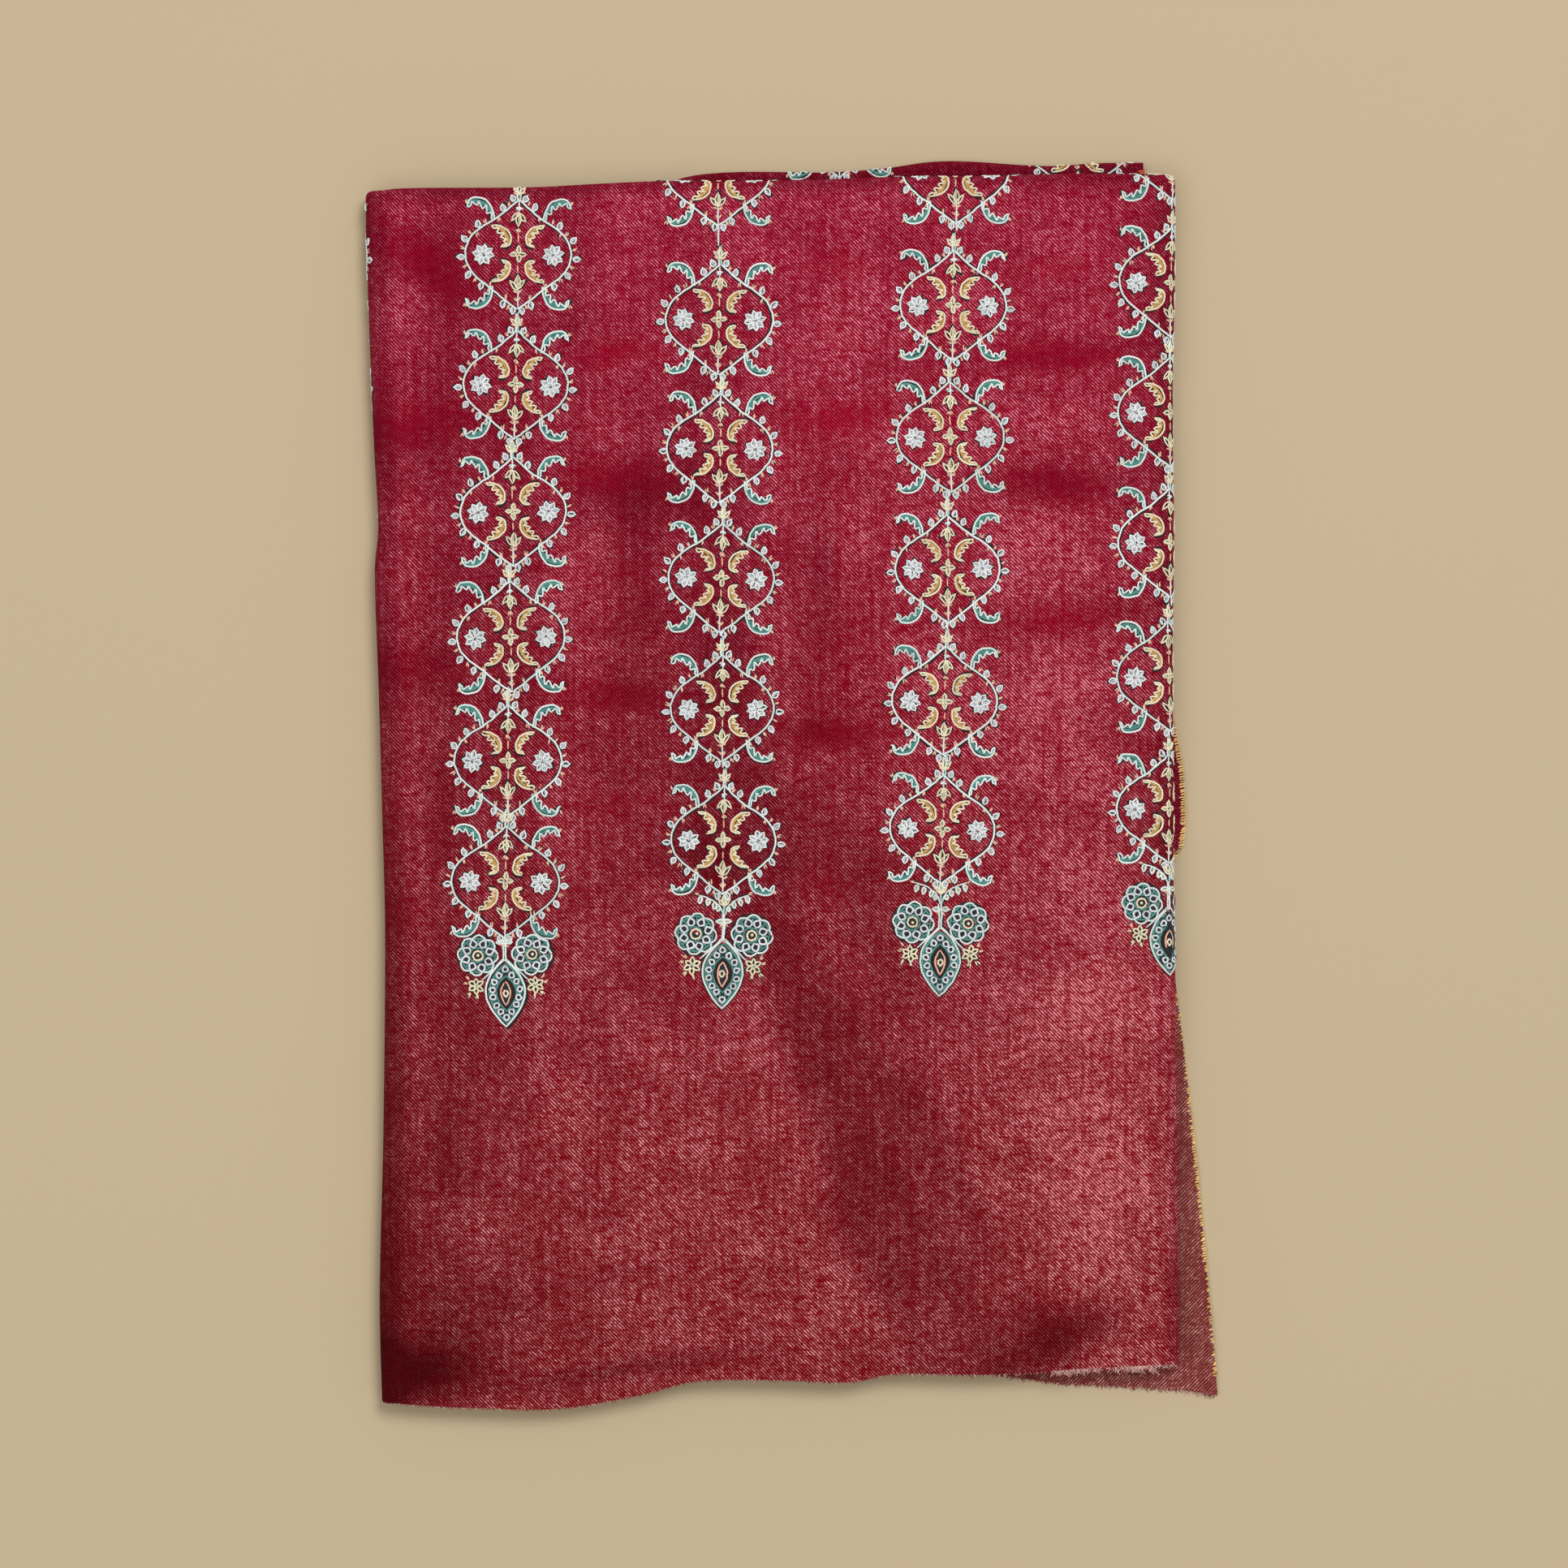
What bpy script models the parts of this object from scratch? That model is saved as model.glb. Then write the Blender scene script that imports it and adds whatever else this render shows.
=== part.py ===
"""Folded pashmina shawl, lying flat with its embroidered face up.

One woven cloth, 1.0 m wide and 2.0 m long. It is halved twice along its length, then its two
sides are folded back behind the middle third. The packet is about 350 mm wide and 515 mm deep,
and twelve layers high. The picture's right is +X, its top is +Y, and the table is at Z = 0.

Four stretches of the cloth are modelled. The front panel is the outer layer of the middle third
and wraps the left fold, the right fold and the top fold. The back panel is the outer layer of the
left third, wrong side up on the table. The rear fold is the same third's inner layer, whose folded
edge shows past the top and whose selvedge shows past the right fold. The layers between them
share one solid with layered edges.

All tables and sizes are in millimetres and are turned into metres when a point is made.
"""
import math
from collections import namedtuple

import bmesh
import bpy

METRE = 0.001

# Cloth and the packet's heights
CLOTH = 1.2
GAP = 0.3
FOLD_DEPTH = 4.0
REAR_TOP = 2 * CLOTH + GAP
HIDDEN_LOW = REAR_TOP + GAP
HIDDEN_HIGH = 10.3
PANEL_TOP = 13.5
DEEPEST_TROUGH = 1.5

# Folds and the strips of cloth that turn under behind them
LEFT_RADIUS = PANEL_TOP / 2
RIGHT_RADIUS = (PANEL_TOP - HIDDEN_LOW) / 2
TOP_RADIUS = 2.5
LEFT_SEAM = -154.5
RIGHT_TUCK = 5.0
TOP_TUCK = 4.0
REAR_RADIUS = FOLD_DEPTH / 2
REAR_SEAM = 232.0
REAR_SWELL_REACH = 13.0
REAR_HEM = -233.0
HEM_DROOP = 1.5
HEM_DROOP_REACH = 9.0
EDGE_CALM = 20.0

# How finely each fold and panel is divided
BEND_STEPS = 6
PANEL_COLUMNS = 18
PANEL_ROWS = 46
BACK_COLUMNS = 10
BACK_ROWS = 20
REAR_COLUMNS = 12
REAR_ROWS = 18
REAR_SWELL_ROWS = 3

# An edge row says where the edge stands (at) for a place along it (along)
Edge = namedtuple("Edge", "along at")

# Outer side of the left fold: along Y, stands at X
LEFT_FOLD = [
    Edge(-257, -169.0), Edge(-211, -170.0), Edge(-145, -168.5), Edge(-62, -167.8), Edge(-12, -169.0),
    Edge(38, -170.4), Edge(88, -172.0), Edge(105, -170.6), Edge(138, -172.3), Edge(188, -174.3),
    Edge(238, -175.8), Edge(257, -175.0),
]

# Outer side of the right fold: along Y, stands at X
RIGHT_FOLD = [
    Edge(-240, 159.2), Edge(-211, 158.6), Edge(-150, 157.7), Edge(-95, 157.0), Edge(-45, 156.4),
    Edge(-12, 157.2), Edge(55, 156.8), Edge(105, 157.3), Edge(158, 156.7), Edge(205, 157.6),
    Edge(250, 157.8),
]

# Outer side of the top fold: along X, stands at Y
TOP_FOLD = [
    Edge(-176, 244.8), Edge(-107, 245.4), Edge(-80, 246.8), Edge(-54, 248.8), Edge(-20, 249.6),
    Edge(33, 249.9), Edge(80, 250.2), Edge(120, 250.8), Edge(158, 250.2),
]

# Raw hem of the front panel: along X, stands at Y
FRONT_HEM = [
    Edge(-170, -254.2), Edge(-147, -256.0), Edge(-120, -257.0), Edge(-100, -257.2), Edge(-80, -254.8),
    Edge(-60, -250.8), Edge(-40, -245.8), Edge(-8, -245.2), Edge(24, -246.0), Edge(42, -242.8),
    Edge(80, -243.0), Edge(120, -240.6), Edge(159, -238.6),
]

# Raw hem of the back panel: along X, stands at Y
BACK_HEM = [
    Edge(-160, -246.0), Edge(-60, -241.0), Edge(40, -240.4), Edge(80, -243.8), Edge(106, -247.4),
    Edge(140, -249.4), Edge(160, -250.6), Edge(176, -253.0),
]

# Selvedge of the back panel: along Y, stands at X
BACK_SELVEDGE = [
    Edge(-253, 176.0), Edge(-212, 172.4), Edge(-178, 169.2), Edge(-145, 165.8), Edge(-112, 162.2),
    Edge(-80, 158.4), Edge(-40, 154.0), Edge(40, 151.0), Edge(240, 146.0),
]

# Folded edge of the rear layers: along X, stands at Y
REAR_FOLD = [
    Edge(-162, 240.0), Edge(-90, 242.5), Edge(-56, 247.4), Edge(-40, 251.4), Edge(-20, 252.8),
    Edge(14, 252.6), Edge(38, 254.2), Edge(56, 256.8), Edge(70, 257.2), Edge(106, 255.2),
    Edge(126, 256.4), Edge(145, 256.6),
]

# Selvedge of the rear layer, with the bulge past the right fold: along Y, stands at X
REAR_SELVEDGE = [
    Edge(-240, 149.5), Edge(-60, 150.0), Edge(-40, 152.5), Edge(-31, 158.0), Edge(-25, 161.2),
    Edge(-12, 162.1), Edge(5, 161.2), Edge(24, 158.0), Edge(45, 154.0), Edge(90, 150.5),
    Edge(150, 147.5), Edge(257, 145.0),
]

# Straight edges under the packet, where one stretch of cloth meets the next
REAR_LEFT = [Edge(-257, LEFT_SEAM + GAP), Edge(257, LEFT_SEAM + GAP)]
REAR_LOW = [Edge(-176, REAR_HEM), Edge(176, REAR_HEM)]
BACK_TOP = [Edge(-176, REAR_SEAM - GAP), Edge(176, REAR_SEAM - GAP)]

# Soft hollows that the packed folds and the embroidery leave in the front panel: centre x and y,
# the hollow's turn in degrees, half its length, half its width, and how deep it is
Hollow = namedtuple("Hollow", "x y turn long wide deep")
HOLLOWS = [
    Hollow(-150, 215, -35, 38, 11, 1.1), Hollow(-152, 147, 5, 34, 13, 1.2),
    Hollow(-154, 48, -8, 30, 10, 0.9), Hollow(-154, -53, 6, 28, 9, 0.7),
    Hollow(-72, 178, 3, 38, 8, 1.0), Hollow(-70, 125, -4, 40, 12, 1.3),
    Hollow(-72, 88, 8, 30, 8, 0.8), Hollow(-72, 38, -5, 42, 11, 1.2),
    Hollow(-72, -5, 6, 32, 9, 0.8), Hollow(18, 214, -6, 34, 8, 0.7),
    Hollow(21, 147, 4, 42, 12, 1.1), Hollow(15, 60, -3, 34, 9, 0.6),
    Hollow(15, 17, 5, 46, 12, 1.4), Hollow(15, -42, -6, 34, 9, 0.7),
    Hollow(111, 212, 8, 30, 9, 0.8), Hollow(108, 177, 0, 52, 9, 1.4),
    Hollow(114, 128, -7, 36, 12, 1.1), Hollow(111, 75, 4, 34, 10, 0.9),
    Hollow(108, 22, -3, 36, 9, 0.6), Hollow(38, -151, -67, 92, 24, 1.4),
    Hollow(105, -218, 30, 30, 14, 1.0), Hollow(-25, -236, -2, 70, 6, 0.8),
]

# One row for each hidden layer: its height above the table, how far it stays behind the top fold
# and behind the hem, and how far its groove is cut in
Layer = namedtuple("Layer", "low high top hem groove")
HIDDEN_LAYERS = [
    Layer(HIDDEN_LOW, 5.0, 22.0, 5.0, 1.5),
    Layer(5.0, 6.8, 2.4, 8.0, 1.6),
    Layer(6.8, 8.6, 3.4, 4.2, 1.6),
    Layer(8.6, HIDDEN_HIGH, 9.0, 6.6, 1.5),
]
CORNER_AT_TOP = 24.0
CORNER_AT_HEM = 6.0
BEND_CLEARANCE = 0.9
SIDE_STEPS = 26
END_STEPS = 18

# Where a layer's edge stands furthest out, as shares of its height
EDGE_SHARES = (0.3, 0.7)

ROUGHNESS = 0.85
SHARP_EDGE = math.radians(50)

CRIMSON = (0.34, 0.012, 0.030, 1.0)
ROSE_BROWN = (0.24, 0.060, 0.058, 1.0)
DEEP_CRIMSON = (0.22, 0.006, 0.020, 1.0)


def along_table(rows, place):
    """Where the edge stands at a place along it: a smooth curve through the table's rows."""
    if place <= rows[0].along:
        return rows[0].at
    if place >= rows[-1].along:
        return rows[-1].at
    index = max(i for i in range(len(rows) - 1) if rows[i].along <= place)
    before = rows[max(index - 1, 0)]
    start = rows[index]
    end = rows[index + 1]
    after = rows[min(index + 2, len(rows) - 1)]
    span = end.along - start.along
    start_slope = (end.at - before.at) / (end.along - before.along) * span
    end_slope = (after.at - start.at) / (after.along - start.along) * span
    t = (place - start.along) / span
    rise = start.at * (2 * t**3 - 3 * t**2 + 1) + end.at * (3 * t**2 - 2 * t**3)
    bend = start_slope * (t**3 - 2 * t**2 + t) + end_slope * (t**3 - t**2)
    return rise + bend


def mix(start, end, share):
    return start + (end - start) * share


def ease(share):
    """0 to 1 with level ends."""
    share = min(max(share, 0.0), 1.0)
    return share * share * (3 - 2 * share)


def relief(x, y):
    """How far the front panel's hollows take it below its level top, smallest near the folds."""
    total = 0.0
    for hollow in HOLLOWS:
        turn = math.radians(hollow.turn)
        along = (x - hollow.x) * math.cos(turn) + (y - hollow.y) * math.sin(turn)
        across = (y - hollow.y) * math.cos(turn) - (x - hollow.x) * math.sin(turn)
        total += hollow.deep * math.exp(-((along / hollow.long) ** 2) - (across / hollow.wide) ** 2)
    held = DEEPEST_TROUGH * math.tanh(total / DEEPEST_TROUGH)
    from_left = x - along_table(LEFT_FOLD, y)
    from_right = along_table(RIGHT_FOLD, y) - x
    from_top = along_table(TOP_FOLD, x) - y
    calm = ease(from_left / EDGE_CALM) * ease(from_right / EDGE_CALM) * ease(from_top / EDGE_CALM)
    return -held * calm


def droop(x, y):
    """How far the hem hangs below the panel, from the hem's own line inwards."""
    return -HEM_DROOP * math.exp(-max(y - along_table(FRONT_HEM, x), 0.0) / HEM_DROOP_REACH)


def plan(left, right, bottom, top, across, up, inset=(0.0, 0.0, 0.0, 0.0)):
    """A place in plan by its share across and up a panel that four edges bound.

    inset is how far the left, right, bottom and top edges are drawn in.
    """
    middle = (bottom[0].at + top[0].at) / 2
    x = mix(along_table(left, middle), along_table(right, middle), across)
    y = mix(along_table(bottom, x) + inset[2], along_table(top, x) - inset[3], up)
    x = mix(along_table(left, y) + inset[0], along_table(right, y) - inset[1], across)
    y = mix(along_table(bottom, x) + inset[2], along_table(top, x) - inset[3], up)
    return x, y


# A wrap is how far round a fold's half turn a point is, from 0 to 1, and 2 at its tuck's end
WRAPS = [(step + 1) / BEND_STEPS for step in range(BEND_STEPS)] + [2.0]


def front_point(across, side, up, over):
    """A point of the front panel's outer surface.

    across and up are shares of the flat part. side is the wrap round its left fold, below zero, or
    its right fold, above zero. over is the wrap round its top fold.
    """
    flat_inset = (LEFT_RADIUS, RIGHT_RADIUS, 0.0, TOP_RADIUS)
    x, y = plan(LEFT_FOLD, RIGHT_FOLD, FRONT_HEM, TOP_FOLD, across, up, flat_inset)
    high = PANEL_TOP + relief(x, y) + droop(x, y)
    hand = -1 if side < 0 else 1
    low = 0.0 if side < 0 else HIDDEN_LOW
    radius = LEFT_RADIUS if side < 0 else RIGHT_RADIUS
    turn = math.pi * min(abs(side), 1.0)
    half = (high - low) / 2
    x += hand * radius * math.sin(turn)
    z = low + half + half * math.cos(turn)
    if side == -2.0:
        x = LEFT_SEAM
    elif side == 2.0:
        x -= RIGHT_TUCK
    # The top fold turns towards the inside of whatever bend it runs round
    top_turn = math.pi * min(over, 1.0)
    depth = FOLD_DEPTH / 2 * (1 - math.cos(top_turn))
    x -= hand * math.sin(turn) * depth
    y += TOP_RADIUS * math.sin(top_turn)
    z -= math.cos(turn) * depth
    if over == 2.0:
        y -= TOP_TUCK
    return x, y, z


def back_point(across, up):
    """A point of the back panel's upper surface, level on the table."""
    x, y = plan(REAR_LEFT, BACK_SELVEDGE, BACK_HEM, BACK_TOP, across, up)
    return x, y, CLOTH


def rear_point(across, up, over):
    """A point of the rear layer's face, which swells towards its folded edge and turns down."""
    x, y = plan(REAR_LEFT, REAR_SELVEDGE, REAR_LOW, REAR_FOLD, across, up, (0.0, 0.0, 0.0, REAR_RADIUS))
    to_fold = along_table(REAR_FOLD, x) - REAR_RADIUS - y
    swell = ease(1 - to_fold / REAR_SWELL_REACH)
    turn = math.pi * min(over, 1.0)
    y += REAR_RADIUS * math.sin(turn)
    if over == 2.0:
        y = REAR_SEAM
    z = mix(REAR_TOP, FOLD_DEPTH, swell) - REAR_RADIUS * (1 - math.cos(turn))
    return x, y, z


def grid_wall(name, columns, rows, place, colour):
    """A wall of cloth: a grid whose points are placed by a function, thickened inwards."""
    form = bmesh.new()
    bmesh.ops.create_grid(form, x_segments=len(columns) - 1, y_segments=len(rows) - 1, size=0.5)
    for vert in form.verts:
        column = columns[round((vert.co.x + 0.5) * (len(columns) - 1))]
        row = rows[round((vert.co.y + 0.5) * (len(rows) - 1))]
        vert.co = [value * METRE for value in place(column, row)]
    wall = add_object(name, form, colour)
    thicken = wall.modifiers.new("cloth", "SOLIDIFY")
    thicken.thickness = CLOTH * METRE
    thicken.offset = -1
    return wall


def add_object(name, form, colour):
    mesh = bpy.data.meshes.new(name)
    form.to_mesh(mesh)
    form.free()
    mesh.shade_smooth()
    mesh.set_sharp_from_angle(angle=SHARP_EDGE)
    material = bpy.data.materials.new(name + "_cloth")
    material.use_nodes = True
    shader = material.node_tree.nodes["Principled BSDF"]
    shader.inputs["Base Color"].default_value = colour
    shader.inputs["Roughness"].default_value = ROUGHNESS
    shader.inputs["Metallic"].default_value = 0.0
    mesh.materials.append(material)
    piece = bpy.data.objects.new(name, mesh)
    shawl.objects.link(piece)
    return piece


def front_panel():
    """Outer layer of the middle third, wrapped round the left, right and top folds."""
    left = [(0.0, -wrap) for wrap in reversed(WRAPS)]
    flat = [(step / PANEL_COLUMNS, 0.0) for step in range(PANEL_COLUMNS + 1)]
    right = [(1.0, wrap) for wrap in WRAPS]
    up = [(step / PANEL_ROWS, 0.0) for step in range(PANEL_ROWS + 1)]
    over = [(1.0, wrap) for wrap in WRAPS]

    def place(column, row):
        return front_point(*column, *row)

    return grid_wall("front_panel", left + flat + right, up + over, place, CRIMSON)


def back_panel():
    """Outer layer of the left third, lying wrong side up on the table."""
    columns = [step / BACK_COLUMNS for step in range(BACK_COLUMNS + 1)]
    rows = [step / BACK_ROWS for step in range(BACK_ROWS + 1)]
    return grid_wall("back_panel", columns, rows, back_point, ROSE_BROWN)


def rear_fold():
    """Inner layer of the left third, face up, folded down to the table behind the top fold."""
    columns = [step / REAR_COLUMNS for step in range(REAR_COLUMNS + 1)]
    swell_start = 1 - REAR_SWELL_REACH / (REAR_FOLD[0].at - REAR_HEM)
    level = [(swell_start * step / REAR_ROWS, 0.0) for step in range(REAR_ROWS)]
    swelling = [(mix(swell_start, 1.0, step / REAR_SWELL_ROWS), 0.0) for step in range(REAR_SWELL_ROWS + 1)]
    over = [(1.0, wrap) for wrap in WRAPS]

    def place(column, row):
        return rear_point(column, *row)

    return grid_wall("rear_fold", columns, level + swelling + over, place, DEEP_CRIMSON)


def bend_inset(height, low, radius):
    """How far the inner side of a fold's half turn stands in from its outer side at a height."""
    inner = radius - CLOTH - GAP
    off_centre = height - low - radius
    return radius - math.sqrt(max(inner**2 - off_centre**2, 0.0))


def rounded(distance, radius):
    """Shift along and in from a side, for a point at a distance from its corner."""
    if distance >= radius:
        return 0.0, 0.0
    turn = math.pi / 4 * (1 - distance / radius)
    return radius - radius * math.sin(turn) - distance, radius - radius * math.cos(turn)


def hidden_ring(height, top, hem, groove):
    """A closed ring round the hidden layers, clear of the front panel's folds and tucks."""
    left = bend_inset(height, 0.0, LEFT_RADIUS)
    right = bend_inset(height, HIDDEN_LOW, RIGHT_RADIUS)
    if height <= HIDDEN_LOW + CLOTH + GAP:
        right = RIGHT_RADIUS + RIGHT_TUCK + GAP
    inset = (left + BEND_CLEARANCE + groove, right + BEND_CLEARANCE + groove, hem + groove, top + groove)
    length = TOP_FOLD[0].at - FRONT_HEM[0].at
    width = RIGHT_FOLD[0].at - LEFT_FOLD[0].at
    # Each side: how it runs in plan, its steps, its length, and its two corners' radii
    sides = [
        ((1, 0), END_STEPS, width, CORNER_AT_HEM, CORNER_AT_HEM),
        ((0, 1), SIDE_STEPS, length, CORNER_AT_HEM, CORNER_AT_TOP),
        ((-1, 0), END_STEPS, width, CORNER_AT_TOP, CORNER_AT_TOP),
        ((0, -1), SIDE_STEPS, length, CORNER_AT_TOP, CORNER_AT_HEM),
    ]
    starts = [(0, 0), (1, 0), (1, 1), (0, 1)]
    ring = []
    for (start_across, start_up), (run, steps, reach, first, last) in zip(starts, sides):
        for step in range(steps):
            share = step / steps
            across = start_across + run[0] * share
            up = start_up + run[1] * share
            x, y = plan(LEFT_FOLD, RIGHT_FOLD, FRONT_HEM, TOP_FOLD, across, up, inset)
            forward, inward = rounded(share * reach, first)
            backward, inward_again = rounded((1 - share) * reach, last)
            shift = forward - backward
            x += run[0] * shift - run[1] * (inward + inward_again)
            y += run[1] * shift + run[0] * (inward + inward_again)
            ring.append((x, y, height))
    return ring


def hidden_layers():
    """The layers that don't show, as one solid with a groove between each layer and the next."""
    rings = []
    below = HIDDEN_LAYERS[0]
    for layer in HIDDEN_LAYERS:
        rise = layer.high - layer.low
        top = max(layer.top, below.top)
        hem = max(layer.hem, below.hem)
        rings.append(hidden_ring(layer.low, top, hem, layer.groove))
        for share in EDGE_SHARES:
            rings.append(hidden_ring(layer.low + share * rise, layer.top, layer.hem, 0.0))
        below = layer
    rings.append(hidden_ring(below.high, below.top, below.hem, below.groove))
    form = bmesh.new()
    loops = [[form.verts.new([value * METRE for value in point]) for point in ring] for ring in rings]
    for lower, upper in zip(loops, loops[1:]):
        for index in range(len(lower)):
            after = (index + 1) % len(lower)
            form.faces.new((lower[index], lower[after], upper[after], upper[index]))
    form.faces.new(list(reversed(loops[0])))
    form.faces.new(loops[-1])
    return add_object("hidden_layers", form, DEEP_CRIMSON)


for old in list(bpy.data.objects):
    bpy.data.objects.remove(old)
shawl = bpy.data.collections.new("pashmina_shawl")
bpy.context.scene.collection.children.link(shawl)

front_panel()
back_panel()
rear_fold()
hidden_layers()
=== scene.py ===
"""Looks of the folded pashmina shawl: cloth, embroidery, selvedges and raw hems."""
import bpy
import math
from collections import namedtuple

import numpy as np
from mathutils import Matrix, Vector


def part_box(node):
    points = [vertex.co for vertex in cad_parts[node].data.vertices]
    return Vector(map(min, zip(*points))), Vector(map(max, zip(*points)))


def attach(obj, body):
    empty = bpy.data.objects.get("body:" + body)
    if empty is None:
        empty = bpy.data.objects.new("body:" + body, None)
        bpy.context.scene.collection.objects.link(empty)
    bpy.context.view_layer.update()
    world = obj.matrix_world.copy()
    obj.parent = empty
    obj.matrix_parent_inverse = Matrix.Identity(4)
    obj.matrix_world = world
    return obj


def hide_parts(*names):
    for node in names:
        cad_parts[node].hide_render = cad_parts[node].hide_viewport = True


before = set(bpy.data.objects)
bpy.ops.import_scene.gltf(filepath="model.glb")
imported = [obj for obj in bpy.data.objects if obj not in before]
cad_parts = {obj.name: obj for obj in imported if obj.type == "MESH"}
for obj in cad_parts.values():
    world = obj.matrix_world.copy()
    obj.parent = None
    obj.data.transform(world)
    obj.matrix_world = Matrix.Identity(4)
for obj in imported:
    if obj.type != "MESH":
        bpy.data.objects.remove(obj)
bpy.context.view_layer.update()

# Front panel
# The outer layer of the shawl's middle third: soft wool twill, crimson with a fine pale weft.
# It wraps the left, right and top folds, and its raw end is the packet's hem.

# Sizes in millimetres; the heights are the frame's own
MM = 0.001
PANEL_TOP = float(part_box("front_panel")[1][2]) / MM
HIDDEN_LOW = float(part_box("hidden_layers")[0][2]) / MM
HIDDEN_HIGH = float(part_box("hidden_layers")[1][2]) / MM
REAR_TOP = HIDDEN_LOW - 0.3
GAP = 0.3
CLOTH = 1
FOLD_DEPTH = 4
LEFT_RADIUS = PANEL_TOP / 2
RIGHT_RADIUS = (PANEL_TOP - HIDDEN_LOW) / 2
TOP_RADIUS = 2.5
LEFT_SEAM = -154.5
RIGHT_TUCK = 5
TOP_TUCK = 4
HEM_DROOP = 1.5
HEM_DROOP_REACH = 9
EDGE_CALM = 20
CELL = 3
BEND_STEPS = 12

# An edge row says where an edge stands (at) for a place along it (along), near the solids' own
Edge = namedtuple("Edge", "along at")


def table(kind, *rows):
    return [kind(*row) for row in rows]


# Outer side of the left fold: along Y, stands at X
LEFT_FOLD = table(
    Edge,
    (-257, -169), (-211, -170), (-145, -168.5), (-62, -167.8), (-12, -169), (38, -170.4),
    (88, -172), (105, -170.6), (138, -172.3), (188, -174.3), (238, -175.8), (257, -175),
)

# Outer side of the right fold: along Y, stands at X
RIGHT_FOLD = table(
    Edge,
    (-240, 159.8), (-211, 159.3), (-150, 158.7), (-95, 158.2), (-45, 157.2), (-12, 157.2), (55, 156.8),
    (105, 157.3), (158, 156.7), (205, 157.6), (250, 157.8),
)

# Outer side of the top fold: along X, stands at Y
TOP_FOLD = table(
    Edge,
    (-176, 241.6), (-169, 243.8), (-158, 244.8), (-107, 245.2), (-80, 246.6), (-54, 247.7), (-20, 247.7),
    (10, 248.3), (40, 249.4), (80, 249.8), (120, 250.8), (158, 250.2),
)

# Raw hem of the front panel: along X, stands at Y
FRONT_HEM = table(
    Edge,
    (-170, -254.2), (-147, -256), (-120, -257), (-100, -257.2), (-80, -254.8), (-60, -250.8),
    (-40, -245.8), (-8, -245.2), (24, -246), (42, -242.8), (80, -243), (120, -240.6), (159, -238.6),
)

# Soft hollows between the stripes of embroidery, and the long slack trough below them: centre x
# and y, turn in degrees, half length, half width and depth
Hollow = namedtuple("Hollow", "x y turn long wide deep")
HOLLOWS = table(
    Hollow,
    (-150, 213, -40, 34, 12, 1.6), (-153, 147, 8, 30, 14, 1.6), (-156, 48, -8, 26, 12, 1.3),
    (-156, -53, 6, 24, 10, 1), (-74, 177, 3, 32, 8, 1.4), (-70, 125, -4, 32, 12, 1.6),
    (-72, 88, 8, 26, 8, 1), (-72, 36, -5, 34, 10, 1.5), (-72, -8, 6, 28, 9, 1.2),
    (18, 214, -6, 34, 8, 1.1), (20, 150, 4, 34, 12, 1.4), (15, 60, -3, 30, 9, 0.8),
    (18, 20, 5, 30, 10, 1.6), (15, -42, -6, 30, 9, 0.9), (111, 212, 8, 26, 9, 1.2),
    (108, 176, 0, 34, 9, 1.7), (110, 122, -7, 30, 11, 1.6), (109, 68, 4, 30, 9, 1.4),
    (108, 22, -3, 32, 9, 0.7), (38, -151, -67, 92, 26, 0.7), (112, -220, 30, 32, 15, 0.6),
    (-25, -236, -2, 70, 6, 0.8),
)
DEEPEST = 1.7

# Painted shade and painted light: broad places of the panel painted darker where shade falls and
# paler where light falls: centre x and y, turn in degrees, half length, half width and tone
PaintedShade = namedtuple("PaintedShade", "x y turn long wide tone")
PAINTED_SHADES = table(
    PaintedShade,
    (23, -167, -65, 116, 11, -0.17), (39, -158, -61, 126, 11, -0.17), (56, -149, -57, 112, 11, -0.15),
    (-30, 44, 88, 104, 17, -0.2), (-10, -14, -80, 60, 12, -0.12), (14, 82, 84, 40, 12, -0.13),
    (-66, 120, 10, 34, 14, -0.15), (-66, 5, 85, 56, 22, -0.1), (10, -20, -10, 30, 26, -0.12),
    (-158, -243, 10, 34, 15, -0.42), (-72, -241, 8, 46, 4, -0.2), (-141, 40, 90, 230, 13, -0.17),
    (-152, 212, -40, 30, 11, -0.1), (-156, 142, 5, 24, 13, -0.12), (-160, 50, -8, 20, 12, -0.08),
    (-92, 205, 90, 60, 12, -0.14), (-62, 92, 90, 52, 13, -0.12), (-142, -130, 80, 60, 12, -0.08),
    (142, 60, 90, 110, 12, -0.12), (118, -224, 25, 36, 15, -0.4), (36, -66, -60, 26, 14, -0.16),
    (108, 122, 0, 30, 9, -0.18), (108, 68, 3, 30, 8, -0.1), (108, 176, 0, 30, 7, -0.08),
    (18, 21, 4, 26, 8, -0.14), (-70, 36, -4, 28, 8, -0.08), (-69, 222, 0, 28, 20, 0.04),
    (108, 150, 2, 28, 8, 0.18), (106, 98, -3, 28, 9, 0.2), (108, 30, 85, 46, 20, 0.2),
    (128, -130, 88, 120, 32, 0.4), (-92, -170, 60, 80, 44, 0.05), (20, 182, 0, 28, 9, 0.08),
    (26, 100, 88, 30, 8, 0.18), (-12, -110, -66, 56, 10, 0.16), (-76, -145, 90, 90, 16, -0.06),
    (-160, -150, 90, 110, 6, -0.1), (-141, 127, 90, 50, 7, 0.06), (-141, -97, 90, 26, 8, 0.06),
    (40, -33, 0, 22, 14, -0.07), (115, -17, 0, 36, 18, -0.07), (148, -222, 90, 40, 8, 0.14),
    (136, -12, 90, 36, 9, -0.07), (-140, -186, 60, 60, 28, -0.06), (-115, 60, 90, 200, 12, -0.18),
    (-115, -75, 0, 20, 14, -0.12), (-40, 160, 90, 70, 11, -0.1), (-38, -30, 0, 18, 14, -0.12),
    (150, -27, 90, 30, 12, -0.18), (148, 205, 90, 50, 12, -0.09), (-130, -214, 0, 44, 16, -0.15),
)
# Painted shade along the rolled fold edges: its strength at the edge and its reach in millimetres
ROLL_SHADE = 0.16
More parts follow.
